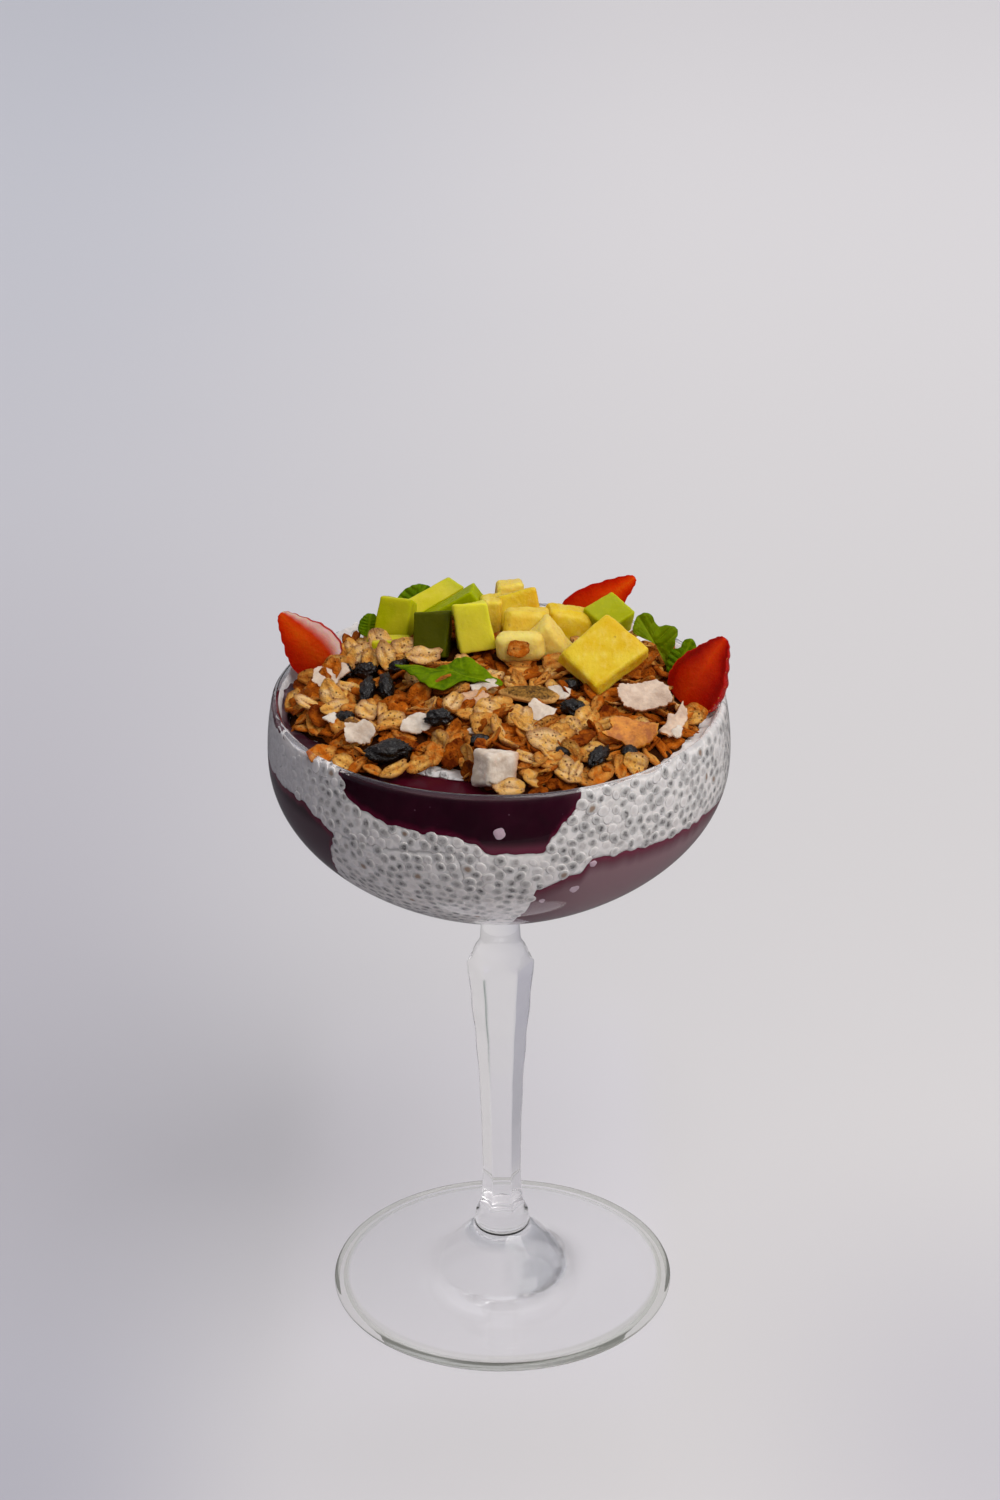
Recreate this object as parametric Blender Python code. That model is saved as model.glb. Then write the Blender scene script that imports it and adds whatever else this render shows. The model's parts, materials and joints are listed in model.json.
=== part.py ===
"""Cup of chia pudding: a stemmed glass with layered pudding, a granola heap
and fruit on top. The foot stands on z = 0, the stem is the z axis and the
front of the cup looks along -y. Shapes are worked out in millimetres and
stored in metres."""
import math
import random

import bmesh
import bpy
from mathutils import Matrix, Vector, noise
from mathutils.bvhtree import BVHTree

MM = 0.001

# ---- glass, in millimetres -------------------------------------------------
RIM_HEIGHT = 150.0        # rim above the table
RIM_RADIUS = 48.86        # outer edge of the lip
BOWL_RADIUS = 50.18       # widest outer radius
BOWL_MID = 137.8          # height of the widest place
BOWL_DEPTH = 39.7         # widest place down to the bottom of the bowl, outside
BOWL_SIDE = 2.22          # how full the lower bowl is
BOWL_EASE = 0.82          # how soon it turns in towards the stem
WALL = 1.4                # wall at the lip
WALL_BOTTOM = 2.9         # glass under the food
LIP_TOP = 149.3           # where the rounding of the lip starts
STEM_SIDES = 6            # flats on the stem, one of them to the front
SEGMENTS = 36             # steps round the glass
FOOT_RADIUS = 38.9
FOOT_RING = 31.0          # inner edge of the ring that it stands on

# ---- food ------------------------------------------------------------------
GAP = 0.30                # clearance between neighbouring pieces
FOOD_LIMIT = 149.4        # the food stays under this height at the wall
BERRY_REACH = 36.0        # the upper berry layer thins out inside this radius
EDGE_RISE = 1.1           # thickness of the granola heap at its edge
CROWN = 4.6               # how much thicker it is in the middle
BACK_CROWN = 4.0          # and at the back, under the fruit
FLAKE_SEED = 7
FLAKE_COUNT = 90
FLAKE_SPACING = 3.6
LETTING_HEIGHT = 230.0    # toppings are let down from here

# ---- looks: colour, roughness ----------------------------------------------
LOOKS = {
    "glass": ((0.88, 0.91, 0.92), 0.03),
    "pudding": ((0.80, 0.78, 0.76), 0.35),
    "berry_sauce": ((0.055, 0.008, 0.028), 0.18),
    "oats": ((0.62, 0.36, 0.15), 0.75),
    "melon": ((0.42, 0.50, 0.06), 0.35),
    "pineapple": ((0.83, 0.68, 0.18), 0.35),
    "strawberry": ((0.70, 0.06, 0.02), 0.30),
    "mint": ((0.10, 0.30, 0.03), 0.50),
    "coconut": ((0.86, 0.80, 0.72), 0.55),
    "raisin": ((0.020, 0.016, 0.022), 0.45),
    "seed": ((0.20, 0.20, 0.06), 0.50),
}


# ---- small tools -----------------------------------------------------------
def startEmpty():
    for obj in list(bpy.data.objects):
        bpy.data.objects.remove(obj, do_unlink=True)


def lookOf(kind):
    material = bpy.data.materials.get(kind)
    if material is None:
        colour, roughness = LOOKS[kind]
        material = bpy.data.materials.new(kind)
        material.use_nodes = True
        shader = material.node_tree.nodes["Principled BSDF"]
        shader.inputs["Base Color"].default_value = (*colour, 1.0)
        shader.inputs["Roughness"].default_value = roughness
        shader.inputs["Metallic"].default_value = 0.0
        shader.inputs["Transmission Weight"].default_value = float(kind == "glass")
    return material


def addPart(name, kind, shape, matrix=Matrix()):
    """New object from (points, faces) in millimetres, put at the matrix."""
    points, faces = shape
    mesh = bpy.data.meshes.new(name)
    mesh.from_pydata([tuple(c * MM for c in p) for p in points], [], faces)
    work = bmesh.new()
    work.from_mesh(mesh)
    bmesh.ops.recalc_face_normals(work, faces=work.faces)
    if work.calc_volume(signed=True) < 0:
        bmesh.ops.reverse_faces(work, faces=work.faces)
    work.to_mesh(mesh)
    work.free()
    mesh.materials.append(lookOf(kind))
    obj = bpy.data.objects.new(name, mesh)
    bpy.context.scene.collection.objects.link(obj)
    place, turn, _ = matrix.decompose()
    obj.location = place * MM
    obj.rotation_euler = turn.to_euler()
    return obj


def shadeSoft(obj, angle=35.0):
    obj.data.shade_smooth()
    obj.data.set_sharp_from_angle(angle=math.radians(angle))


def skinThrough(rings, bottomPole, topPole):
    """Closed skin through equal rings of points; a pole closes each end."""
    points = [p for ring in rings for p in ring]
    count = len(rings[0])
    faces = []
    for i in range(len(rings) - 1):
        for j in range(count):
            k = (j + 1) % count
            a, b = i * count, (i + 1) * count
            faces.append((a + j, a + k, b + k, b + j))
    low, high = len(points), len(points) + 1
    points += [bottomPole, topPole]
    last = (len(rings) - 1) * count
    for j in range(count):
        k = (j + 1) % count
        faces.append((low, k, j))
        faces.append((high, last + j, last + k))
    return points, faces


def curveThrough(keys, value):
    """Smooth curve through (value, result) keys."""
    if value <= keys[0][0]:
        return keys[0][1]
    for (a, low), (b, high) in zip(keys, keys[1:]):
        if value <= b:
            t = (value - a) / (b - a)
            return low + (high - low) * t * t * (3 - 2 * t)
    return keys[-1][1]


def curveRound(keys, angle):
    """The same, closed round the circle (degrees, 0 is the front)."""
    angle = (angle + 180.0) % 360.0 - 180.0
    before = (keys[-1][0] - 360, keys[-1][1])
    after = (keys[0][0] + 360, keys[0][1])
    return curveThrough([before] + keys + [after], angle)


def polar(radius, angle):
    """Plan position at this radius; angle 0 is the front, +90 the right."""
    a = math.radians(angle)
    return radius * math.sin(a), -radius * math.cos(a)


def planAngle(x, y):
    return math.degrees(math.atan2(x, -y))


def worldShape(obj):
    """Points (in metres, in the world) and faces of an object."""
    matrix = obj.matrix_basis
    points = [matrix @ v.co for v in obj.data.vertices]
    return points, [tuple(p.vertices) for p in obj.data.polygons]


def applyModifiers(obj):
    graph = bpy.context.evaluated_depsgraph_get()
    graph.update()
    mesh = bpy.data.meshes.new_from_object(obj.evaluated_get(graph))
    obj.modifiers.clear()
    obj.data = mesh


def cutAway(obj, cutter):
    modifier = obj.modifiers.new("cut", "BOOLEAN")
    modifier.operation = "DIFFERENCE"
    modifier.object = cutter
    applyModifiers(obj)
    bpy.data.objects.remove(cutter, do_unlink=True)


def connectedParts(work):
    left = set(work.verts)
    while left:
        stack = [left.pop()]
        found = set(stack)
        while stack:
            for edge in stack.pop().link_edges:
                for vert in edge.verts:
                    if vert in left:
                        left.discard(vert)
                        found.add(vert)
                        stack.append(vert)
        yield found


def skinVolume(verts):
    """Signed volume inside the triangles on these vertices."""
    faces = {face for vert in verts for face in vert.link_faces}
    total = 0.0
    for face in faces:
        a, b, c = (v.co for v in face.verts)
        total += a.dot(b.cross(c)) / 6
    return total


def keepBody(obj, weld):
    """Keep the one big body: scraps go, and sealed hollows are filled."""
    work = bmesh.new()
    work.from_mesh(obj.data)
    bmesh.ops.remove_doubles(work, verts=work.verts, dist=weld)
    bmesh.ops.triangulate(work, faces=work.faces)
    parts = sorted(connectedParts(work), key=skinVolume, reverse=True)
    for scrap in parts[1:]:
        bmesh.ops.delete(work, geom=list(scrap), context="VERTS")
    work.to_mesh(obj.data)
    work.free()


# ---- the glass -------------------------------------------------------------
def bowlRadius(z, inset=0.0):
    """Radius of the bowl, this far in from its outer skin."""
    wide = BOWL_RADIUS - inset
    if z >= BOWL_MID:
        t = (z - BOWL_MID) / (RIM_HEIGHT - BOWL_MID)
        return wide - (BOWL_RADIUS - RIM_RADIUS) * t * t
    share = min(inset / WALL, 1.0)
    depth = BOWL_DEPTH - share * WALL_BOTTOM - max(0.0, inset - WALL)
    s = min(1.0, (BOWL_MID - z) / depth)
    return wide * (1 - s ** BOWL_SIDE) ** BOWL_EASE


def insideProfile(inset):
    """Rings of the food side of the bowl from the bottom up, moved in."""
    floor = BOWL_MID - (BOWL_DEPTH - WALL_BOTTOM - inset)
    heights = [BOWL_MID - s * (BOWL_MID - floor)
               for s in (0.97, 0.92, 0.83, 0.68, 0.49, 0.26, 0.0)] + [144.0]
    return [(bowlRadius(z, WALL + inset), z) for z in heights], floor


def stemRadius(z, angle):
    """Round stem shaved by flats, which swell to a knob under the bowl."""
    corner = curveThrough([(24, 4.6), (29, 4.3), (40, 4.5), (53, 4.95),
                           (64, 5.7), (74, 6.65), (84, 7.5), (87, 7.6)], z)
    turned = curveThrough([(21, 4.4), (25, 6.2), (80, 8.2), (83.2, 7.9),
                           (86.5, 6.1), (90, 4.5), (94, 4.3)], z)
    step = 360.0 / STEM_SIDES
    off = math.radians((angle + step / 2) % step - step / 2)
    flat = corner * math.cos(math.pi / STEM_SIDES) / math.cos(off)
    return min(turned, flat)


def makeGlass():
    foot = [(FOOT_RING, 0.0), (FOOT_RADIUS - 1.3, 0.0), (FOOT_RADIUS, 0.8),
            (FOOT_RADIUS - 0.2, 2.1), (FOOT_RADIUS - 1.7, 2.6), (27.0, 3.5),
            (15.6, 5.2)]
    dome = [(14.4, 6.0), (13.4, 8.6), (11.0, 12.6), (6.4, 15.9)]
    collar = [(6.6, 17.2), (6.3, 18.8), (4.9, 20.2)]
    stem = [(None, z) for z in (22.2, 24.5, 29, 53, 64, 74, 80, 83, 85, 87,
                                90, 94)]
    neck = [(4.9, 97.0), (6.3, 98.9)]
    bowl = []
    for s in (0.945, 0.88, 0.77, 0.62, 0.43, 0.2):
        z = BOWL_MID - s * BOWL_DEPTH
        bowl.append((bowlRadius(z), z))
    bowl += [(bowlRadius(z), z) for z in (BOWL_MID, 144.5, LIP_TOP)]
    lip = [(RIM_RADIUS - 0.35, RIM_HEIGHT),
           (RIM_RADIUS - WALL + 0.35, RIM_HEIGHT),
           (bowlRadius(LIP_TOP, WALL), LIP_TOP)]
    inside, floor = insideProfile(0.0)
    rings = []
    for radius, z in foot + dome + collar + stem + neck + bowl + lip + inside[::-1]:
        ring = []
        for j in range(SEGMENTS):
            angle = 360.0 * j / SEGMENTS
            here = stemRadius(z, angle) if radius is None else radius
            ring.append(polar(here, angle) + (z,))
        rings.append(ring)
    hollow = (0.0, 0.0, 1.6)
    glass = addPart("glass", "glass", skinThrough(rings, hollow, (0.0, 0.0, floor)))
    shadeSoft(glass)
    return glass


# ---- layers ----------------------------------------------------------------
def ripple(x, y, size, height, layer):
    return height * noise.noise(Vector((x / size, y / size, layer)))


def baseTop(x, y):
    """Top of the white layer at the bottom; it humps up at the front left."""
    wall = curveRound([(-180, 111), (-120, 110), (-75, 112), (-56, 117),
                       (-51, 125), (-48, 131), (-44, 134.7), (-30, 135.6),
                       (-20, 135.9), (-11, 136.5), (-5, 118), (2, 101),
                       (60, 101), (120, 104)], planAngle(x, y))
    return wall + ripple(x, y, 9, 0.6, 1.0)


def lowerBerryTop(x, y):
    """Top of the lower berry layer; it pinches out at the front left."""
    wall = curveRound([(-180, 135), (-130, 137.5), (-71, 138), (-56, 138.1),
                       (-50, 136.6), (-45.5, 134.9), (-43, 131), (-38, 118),
                       (-20, 104), (1, 108), (7, 119), (9.5, 127.5),
                       (20, 130.6), (23, 133.6), (50, 132.6), (75, 131.5),
                       (120, 133)], planAngle(x, y))
    return wall + ripple(x, y, 8, 0.5, 5.0)


def upperBerryBottom(x, y):
    """Underside of the upper berry layer, which lies at the front only."""
    wall = curveRound([(-180, 153), (-60, 153), (-46, 150.5), (-43, 147.6),
                       (-40, 143.9), (-34, 142.2), (-25, 140.7), (-12, 140.5),
                       (-6, 139.1), (-3, 136.9), (10.5, 136.6), (13, 140.6),
                       (16, 143.2), (19, 145.2), (21, 149), (40, 153)],
                      planAngle(x, y))
    return wall + 0.9 * max(0.0, BERRY_REACH - math.hypot(x, y))


def foodTop(x, y):
    """Free surface of the pudding, which creeps up the wall at the back."""
    middle = 146.9
    wall = curveRound([(-180, 148.2), (-135, 148.9), (-95, 146.6),
                       (-65, 145.9), (-40, 146.6), (0, 146.6), (30, 147.2),
                       (60, 147.7), (120, 147.8)], planAngle(x, y))
    reach = min(1.0, math.hypot(x, y) / 46.0)
    return middle + (wall - middle) * reach ** 2


def blockFrom(height, lift, end):
    """Everything between a surface and the level `end`, under or over it."""
    angles = [-181.3 + 15 * i for i in range(8)]
    angles += [-61.3 + 4 * i for i in range(31)]
    angles += [73.7 + 15 * i for i in range(7)]
    rings = []
    for radius in (15.0, 30.0, 42.0, 54.0):
        ring = []
        for angle in angles:
            x, y = polar(radius, angle)
            ring.append((x, y, height(x, y) + lift))
        rings.append(ring)
    middle = sum(p[2] for p in rings[0]) / len(angles)
    rings.append([(x, y, end) for x, y, z in rings[-1]])
    shape = skinThrough(rings, (0.0, 0.0, middle), (0.0, 0.0, end))
    return addPart("cutter", "pudding", shape)


def foodSpace(name, kind):
    """The food space of the bowl, one gap in from the glass."""
    profile, floor = insideProfile(GAP)
    profile.append((bowlRadius(FOOD_LIMIT, WALL + GAP), FOOD_LIMIT))
    rings = [[polar(radius, 360.0 * j / SEGMENTS) + (z,)
              for j in range(SEGMENTS)] for radius, z in profile]
    return addPart(name, kind, skinThrough(rings, (0, 0, floor), (0, 0, FOOD_LIMIT)))


def makeLayers():
    def mainBottom(x, y):
        return max(baseTop(x, y), lowerBerryTop(x, y))

    def mainTop(x, y):
        return min(upperBerryBottom(x, y), foodTop(x, y))

    plan = [("pudding_base", "pudding", None, baseTop),
            ("berry_layer_lower", "berry_sauce", baseTop, lowerBerryTop),
            ("pudding_main", "pudding", mainBottom, mainTop),
            ("berry_layer_upper", "berry_sauce", upperBerryBottom, foodTop)]
    layers = []
    for name, kind, under, over in plan:
        body = foodSpace(name, kind)
        cutAway(body, blockFrom(over, 0.0, 170.0))
        if under:
            cutAway(body, blockFrom(under, GAP, 80.0))
        keepBody(body, 2e-6)
        shadeSoft(body)
        layers.append(body)
    return layers


def makeSmear():
    """Berry sauce that lies on the pudding at the left, beside the heap."""
    steps = 6
    wall = bowlRadius(146.0, WALL) - 2.0
    upper, lower = [], []
    for i in range(steps):
        angle = -77 + 3.8 * i
        swell = math.sin(math.pi * (i + 0.5) / steps)
        near = heapReach(angle) + 2.2 - 0.8 * swell
        for radius in (near, 0.5 * (near + wall), wall):
            x, y = polar(radius, angle)
            z = foodTop(x, y) + GAP
            lower.append((x, y, z))
            upper.append((x, y, z + 0.45 + 0.5 * swell))
    smear = addPart("berry_smear", "berry_sauce", sheetBetween(upper, lower, steps, 3))
    shadeSoft(smear)
    return smear


def sheetBetween(upper, lower, rows, columns):
    """Closed solid between two grids of points, triangulated alike."""
    count = rows * columns
    faces = []
    for i in range(rows - 1):
        for j in range(columns - 1):
            a, b = i * columns + j, (i + 1) * columns + j
            for tri in ((a, b, b + 1), (a, b + 1, a + 1)):
                faces.append(tri)
                faces.append(tuple(count + v for v in reversed(tri)))
    rim = [i * columns for i in range(rows)]
    rim += [(rows - 1) * columns + j for j in range(1, columns)]
    rim += [i * columns + columns - 1 for i in range(rows - 2, -1, -1)]
    rim += [j for j in range(columns - 2, 0, -1)]
    for a, b in zip(rim, rim[1:] + rim[:1]):
        faces.append((a, count + a, count + b, b))
    return upper + lower, faces


# ---- granola heap ----------------------------------------------------------
def heapReach(angle):
    """How far out the heap goes; it leaves bare strips at front and left."""
    return curveRound([(-180, 39), (-130, 41), (-98, 43.5), (-82, 43.5),
                       (-74, 40.5), (-66, 39.5), (-56, 42), (-44, 44.5),
                       (-36, 41.5), (-30, 33.5), (-12, 32), (-5, 41),
                       (6, 43.4), (30, 44.6), (60, 44.6), (95, 43.5),
                       (140, 40)], angle)


def heapTop(x, y):
    """Top of the heap without its loose flakes."""
    share = math.hypot(x, y) / heapReach(planAngle(x, y))
    inner = max(0.0, 1.0 - share * share)
    back = math.exp(-((x - 2) / 24.0) ** 2 - ((y - 20) / 14.0) ** 2)
    rise = CROWN * inner ** 0.75 + BACK_CROWN * back * min(1, inner * 2)
    lumps = ripple(x, y, 5.5, 0.55, 9.0) * min(1, inner * 3)
    return foodTop(x, y) + GAP + EDGE_RISE + rise + lumps


def makeCore():
    """The heap as one plain body; the flakes are fused on to it later."""
    edge = 0.35               # the outer edge is worn round by this much
    upper, lower = [], []
    for share in (0.25, 0.5, 0.75, 0.92, 1.0):
        up, low = [], []
        for j in range(40):
            angle = 9.0 * j - 180
            x, y = polar(heapReach(angle) * share, angle)
            up.append((x, y, heapTop(x, y) - (edge if share == 1.0 else 0.0)))
            low.append((x, y, foodTop(x, y) + GAP))
        upper.append(up)
        lower.append(low)
    shape = skinThrough(lower[::2] + upper[::-1], (0, 0, foodTop(0, 0) + GAP),
                        (0, 0, heapTop(0, 0)))
    return addPart("granola", "oats", shape)


def flakeShape(rng):
    """One rolled oat: a seven-sided curved wafer, true size."""
    sides = 7
    long, wide = rng.uniform(2.6, 3.4), rng.uniform(1.9, 2.5)
    thick = rng.uniform(1.0, 1.35)
    bend = rng.uniform(-0.35, 0.35)
    taper = 0.93
    upper, lower = [], []
    for i in range(sides):
        a = math.tau * i / sides + rng.uniform(-0.12, 0.12)
        x, y = long * math.cos(a), wide * math.sin(a)
        z = bend * (x / long) ** 2
        upper.append((x * taper, y * taper, z + thick / 2))
        lower.append((x, y, z - thick / 2))
    faces = [tuple(range(sides)), tuple(range(2 * sides - 1, sides - 1, -1))]
    for i in range(sides):
        k = (i + 1) % sides
        faces.append((i, i + sides, k + sides, k))
    return upper + lower, faces


def heapNormal(x, y):
    d = 0.8
    slopeX = heapTop(x + d, y) - heapTop(x - d, y)
    slopeY = heapTop(x, y + d) - heapTop(x, y - d)
    return Vector((-slopeX, -slopeY, 2 * d)).normalized()


def spotsOn(points, faces, spacing):
    """Points spread over the corners, edges and faces of a shape."""
    points = [Vector(p) for p in points]
    spots = list(points)
    seen = set()
    for face in faces:
        ring = list(face)
        spots.append(sum((points[i] for i in ring), Vector()) / len(ring))
        for a, b in zip(ring, ring[1:] + ring[:1]):
            if (min(a, b), max(a, b)) in seen:
                continue
            seen.add((min(a, b), max(a, b)))
            count = int((points[b] - points[a]).length / spacing)
            for i in range(1, count + 1):
                spots.append(points[a].lerp(points[b], i / (count + 1)))
    return spots


def isClear(spots, trees):
    """No spot lies inside a neighbour, or nearer to one than the gap."""
    for spot in spots:
        for tree in trees:
            near, normal, _, distance = tree.find_nearest(spot, 0.004)
            if near is None:
                continue
            if distance < GAP * MM or (spot - near).dot(normal) < 0:
                return False
    return True


def layFlakes(rng, neighbours):
    """Oat flakes at seeded places, clear of everything but the heap."""
    trees = [BVHTree.FromPolygons(*worldShape(obj)) for obj in neighbours]
    shapes, taken = [], []
    for attempt in range(6000):
        if len(taken) == FLAKE_COUNT:
            break
        angle = rng.uniform(-180, 180)
        x, y = polar(heapReach(angle) * math.sqrt(rng.random()), angle)
        if any(math.dist((x, y), spot) < FLAKE_SPACING for spot in taken):
            continue
        points, faces = flakeShape(rng)
        lean = Vector([rng.uniform(-0.42, 0.42) for _ in range(3)])
        up = (heapNormal(x * 0.97, y * 0.97) + lean).normalized()
        matrix = Matrix.Translation((x, y, heapTop(x, y) + rng.uniform(0.25, 0.9)))
        matrix = matrix @ up.to_track_quat("Z", "Y").to_matrix().to_4x4()
        matrix = matrix @ Matrix.Rotation(rng.uniform(0, math.tau), 4, "Z")
        placed = [matrix @ Vector(p) for p in points]
        spots = [spot * MM for spot in spotsOn(placed, faces, 0.7)]
        if isClear(spots, trees):
            taken.append((x, y))
            shapes.append((placed, faces))
    return shapes


def fuseFlakes(core, neighbours):
    """One union of the core with all its flakes."""
    flakes = bpy.data.collections.new("flakes")
    for shape in layFlakes(random.Random(FLAKE_SEED), neighbours):
        flake = addPart("flake", "oats", shape)
        bpy.context.scene.collection.objects.unlink(flake)
        flakes.objects.link(flake)
    modifier = core.modifiers.new("flakes", "BOOLEAN")
    modifier.operation = "UNION"
    modifier.operand_type = "COLLECTION"
    modifier.collection = flakes
    applyModifiers(core)
    for flake in list(flakes.objects):
        bpy.data.objects.remove(flake, do_unlink=True)
    bpy.data.collections.remove(flakes)
    keepBody(core, 2e-7)


# ---- shapes of the toppings ------------------------------------------------
def chunkShape(size, seed, bevel=0.8):
    """A knife-cut piece of fruit: a bevelled block with uneven corners."""
    rng = random.Random(seed)
    work = bmesh.new()
    bmesh.ops.create_cube(work, size=1.0)
    for vert in work.verts:
        for axis in range(3):
            vert.co[axis] *= size[axis] * rng.uniform(0.9, 1.1)
    bmesh.ops.bevel(work, geom=list(work.edges), offset=bevel, segments=1,
                    affect="EDGES", profile=0.5)
    bmesh.ops.triangulate(work, faces=work.faces)
    work.verts.index_update()
    points = [tuple(v.co) for v in work.verts]
    faces = [tuple(v.index for v in f.verts) for f in work.faces]
    work.free()
    return points, faces


def berryShape(length, radius, spread, seed):
    """Part of a strawberry cut lengthwise: the tip is at +z, the cut faces
    meet on the axis and the skin looks along +x."""
    rng = random.Random(seed)
    arcs = 8
    profile = [(0.0, 0.55), (0.06, 0.82), (0.18, 0.98), (0.33, 1.0),
               (0.5, 0.88), (0.67, 0.66), (0.82, 0.42), (0.93, 0.22)]
    rings = []
    for t, share in profile:
        z = (t - 0.42) * length
        ring = [(0.0, 0.0, z)]
        for j in range(arcs + 1):
            a = math.radians(spread) * (j / arcs - 0.5)
            r = radius * share * rng.uniform(0.98, 1.02)
            ring.append((r * math.cos(a), r * math.sin(a), z))
        rings.append(ring)
    stalkEnd = tuple(sum(p[i] for p in rings[0]) / len(rings[0]) for i in range(3))
    return skinThrough(rings, stalkEnd, (0.05 * radius, 0.0, 0.58 * length))


def pebbleShape(size, seed, rough=0.22):
    """Raisin, grain or seed: an uneven ellipsoid lying along x."""
    around, up = 8, 4
    rings = []
    for i in range(1, up + 1):
        lat = math.pi * i / (up + 1) - math.pi / 2
        ring = []
        for j in range(around):
            lon = math.tau * j / around
            point = Vector((math.sin(lat), math.cos(lat) * math.cos(lon),
                            math.cos(lat) * math.sin(lon)))
            swell = 1 + rough * noise.noise(point * 2.1 + Vector((seed, 0, 0)))
            ring.append(tuple(0.5 * s * c * swell for s, c in zip(size, point)))
        rings.append(ring)
    return skinThrough(rings, (-size[0] / 2, 0, 0), (size[0] / 2, 0, 0))


def leafShape(length, width, stations, teeth=0.09, lobes=0.0):
    """Toothed leaf lying along x, folded up a little from its midrib."""
    upper, lower = [], []
    for i in range(stations + 1):
        t = i / stations
        body = max(0.07, math.sin(math.pi * max(0.02, t) ** 0.8) ** 0.8)
        tooth = 1 + teeth * (1 if i % 2 else -1)
        half = 0.5 * width * body * tooth * (1 + lobes * math.sin(2 * math.tau * t))
        x = (t - 0.5) * length
        for y in (-half, 0.06 * half, half * (1 + 0.12 * math.sin(7 * t))):
            fold = (0.10 + 0.5 / width * math.sin(0.55 * x)) * abs(y)
            z = fold - 0.008 * x * x
            upper.append((x, y, z + 0.25))
            lower.append((x, y, z - 0.25))
    return sheetBetween(upper, lower, stations + 1, 3)


def chipShape(length, width, seed, bend=0.02):
    """Broken, curled shaving of coconut."""
    rng = random.Random(seed)
    stations = 4
    upper, lower = [], []
    for i in range(stations + 1):
        t = i / stations
        half = 0.5 * width * (0.62 + 0.38 * math.sin(math.pi * t))
        x = (t - 0.5) * length
        right, left = rng.uniform(0.78, 1.0), rng.uniform(0.78, 1.0)
        for y in (-half * right, 0.0, half * left):
            z = bend * (x * x - y * y)
            upper.append((x, y, z + 0.45))
            lower.append((x, y, z - 0.45))
    return sheetBetween(upper, lower, stations + 1, 3)


# ---- putting the toppings down ---------------------------------------------
class Pile:
    """Lets pieces down on to what is already there, one gap clear of it."""

    def __init__(self, bodies):
        self.bodies = []
        for body in bodies:
            self.add(body)

    def add(self, obj):
        points, faces = worldShape(obj)
        spots = spotsOn([p / MM for p in points], faces, 0.8)
        self.bodies.append((BVHTree.FromPolygons(points, faces), spots))

    def fall(self, points, faces):
        """How far a shape can fall before it touches something."""
        own = BVHTree.FromPolygons([p * MM for p in points], faces)
        low = [min(p[i] for p in points) for i in range(2)]
        high = [max(p[i] for p in points) for i in range(2)]
        spots = spotsOn(points, faces, 0.6)
        down, up = Vector((0, 0, -1)), Vector((0, 0, 1))
        found = []
        for tree, others in self.bodies:
            found += [tree.ray_cast(spot * MM, down)[3] for spot in spots]
            found += [own.ray_cast(spot * MM, up)[3] for spot in others
                      if low[0] < spot.x < high[0] and low[1] < spot.y < high[1]]
        return min(distance for distance in found if distance is not None) / MM

    def lay(self, name, kind, shape, spot, yaw=0.0, tilt=0.0, roll=0.0):
        """yaw about the upright, then tilt back from the front, then roll
        clockwise as seen from the front; in degrees."""
        points, faces = shape
        turn = (Matrix.Rotation(math.radians(roll), 4, "Y")
                @ Matrix.Rotation(math.radians(tilt), 4, "X")
                @ Matrix.Rotation(math.radians(yaw), 4, "Z"))
        start = Matrix.Translation((*spot, LETTING_HEIGHT)) @ turn
        drop = self.fall([start @ Vector(p) for p in points], faces)
        rest = Matrix.Translation((*spot, LETTING_HEIGHT - drop + GAP)) @ turn
        obj = addPart(name, kind, shape, rest)
        self.add(obj)
        return obj


def makeFruit(pile):
    """Cut fruit: the front row first, then the rows behind it."""
    def chunk(name, spot, size, seed, turns, bevel=0.8):
        kind = name.split("_")[0]
        return pile.lay(name, kind, chunkShape(size, seed, bevel), spot, *turns)

    return [
        chunk("pineapple_low", (4.7, 6.6), (10.2, 5.4, 6.0), 6, (3, -10, -3), 1.5),
        chunk("pineapple_side", (12.8, 3.6), (4.3, 6.2, 8.0), 8, (-3, -8, 4)),
        chunk("melon_low_left", (-23.6, 11.4), (9.4, 5.2, 5.4), 3, (6, -12, 4)),
        chunk("melon_shaded", (-14.4, 11.8), (6.9, 6.6, 9.2), 4, (-6, -8, 3)),
        chunk("melon_front", (-5.6, 11.2), (7.6, 5.4, 10.6), 5, (4, -14, -8)),
        chunk("pineapple_slab", (23.6, -0.6), (15.2, 12.2, 6.2), 7, (41, 17, 2)),
        chunk("pineapple_high", (6.8, 13.6), (9.6, 4.8, 7.8), 9, (4, -10, 3)),
        chunk("pineapple_mid", (-2.8, 20.6), (4.0, 5.0, 8.6), 13, (4, -6, 2)),
        chunk("melon_left", (-22.4, 20.6), (7.8, 6.4, 8.4), 11, (6, -16, 11)),
        chunk("melon_back", (-10.4, 27.8), (13.6, 6.4, 9.2), 12, (6, -6, -12)),
        chunk("pineapple_tall", (5.0, 22.2), (8.4, 5.2, 9.8), 16, (5, -14, -13)),
        chunk("pineapple_round", (15.4, 20.2), (8.6, 6.2, 8.4), 10, (8, -10, 8), 2.0),
        chunk("melon_right", (25.6, 21.4), (7.8, 7.2, 8.6), 14, (42, 6, 4)),
        chunk("pineapple_back", (3.2, 31.6), (5.8, 5.0, 8.8), 15, (12, -6, 6)),
    ]


def makeStrawberries(pile):
    def berry(name, spot, shape, turns):
        obj = pile.lay(name, "strawberry", berryShape(*shape), spot, *turns)
        shadeSoft(obj)
        return obj

    return [
        berry("strawberry_right", (42.2, -5.0), (17.2, 7.8, 168, 1), (48, -6, 28)),
        berry("strawberry_left", (-41.6, 11.6), (16.0, 6.2, 175, 2), (92, -20, -44)),
        berry("strawberry_back", (19.4, 33.6), (19.0, 5.6, 175, 3), (80, -8, 68)),
    ]


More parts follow.
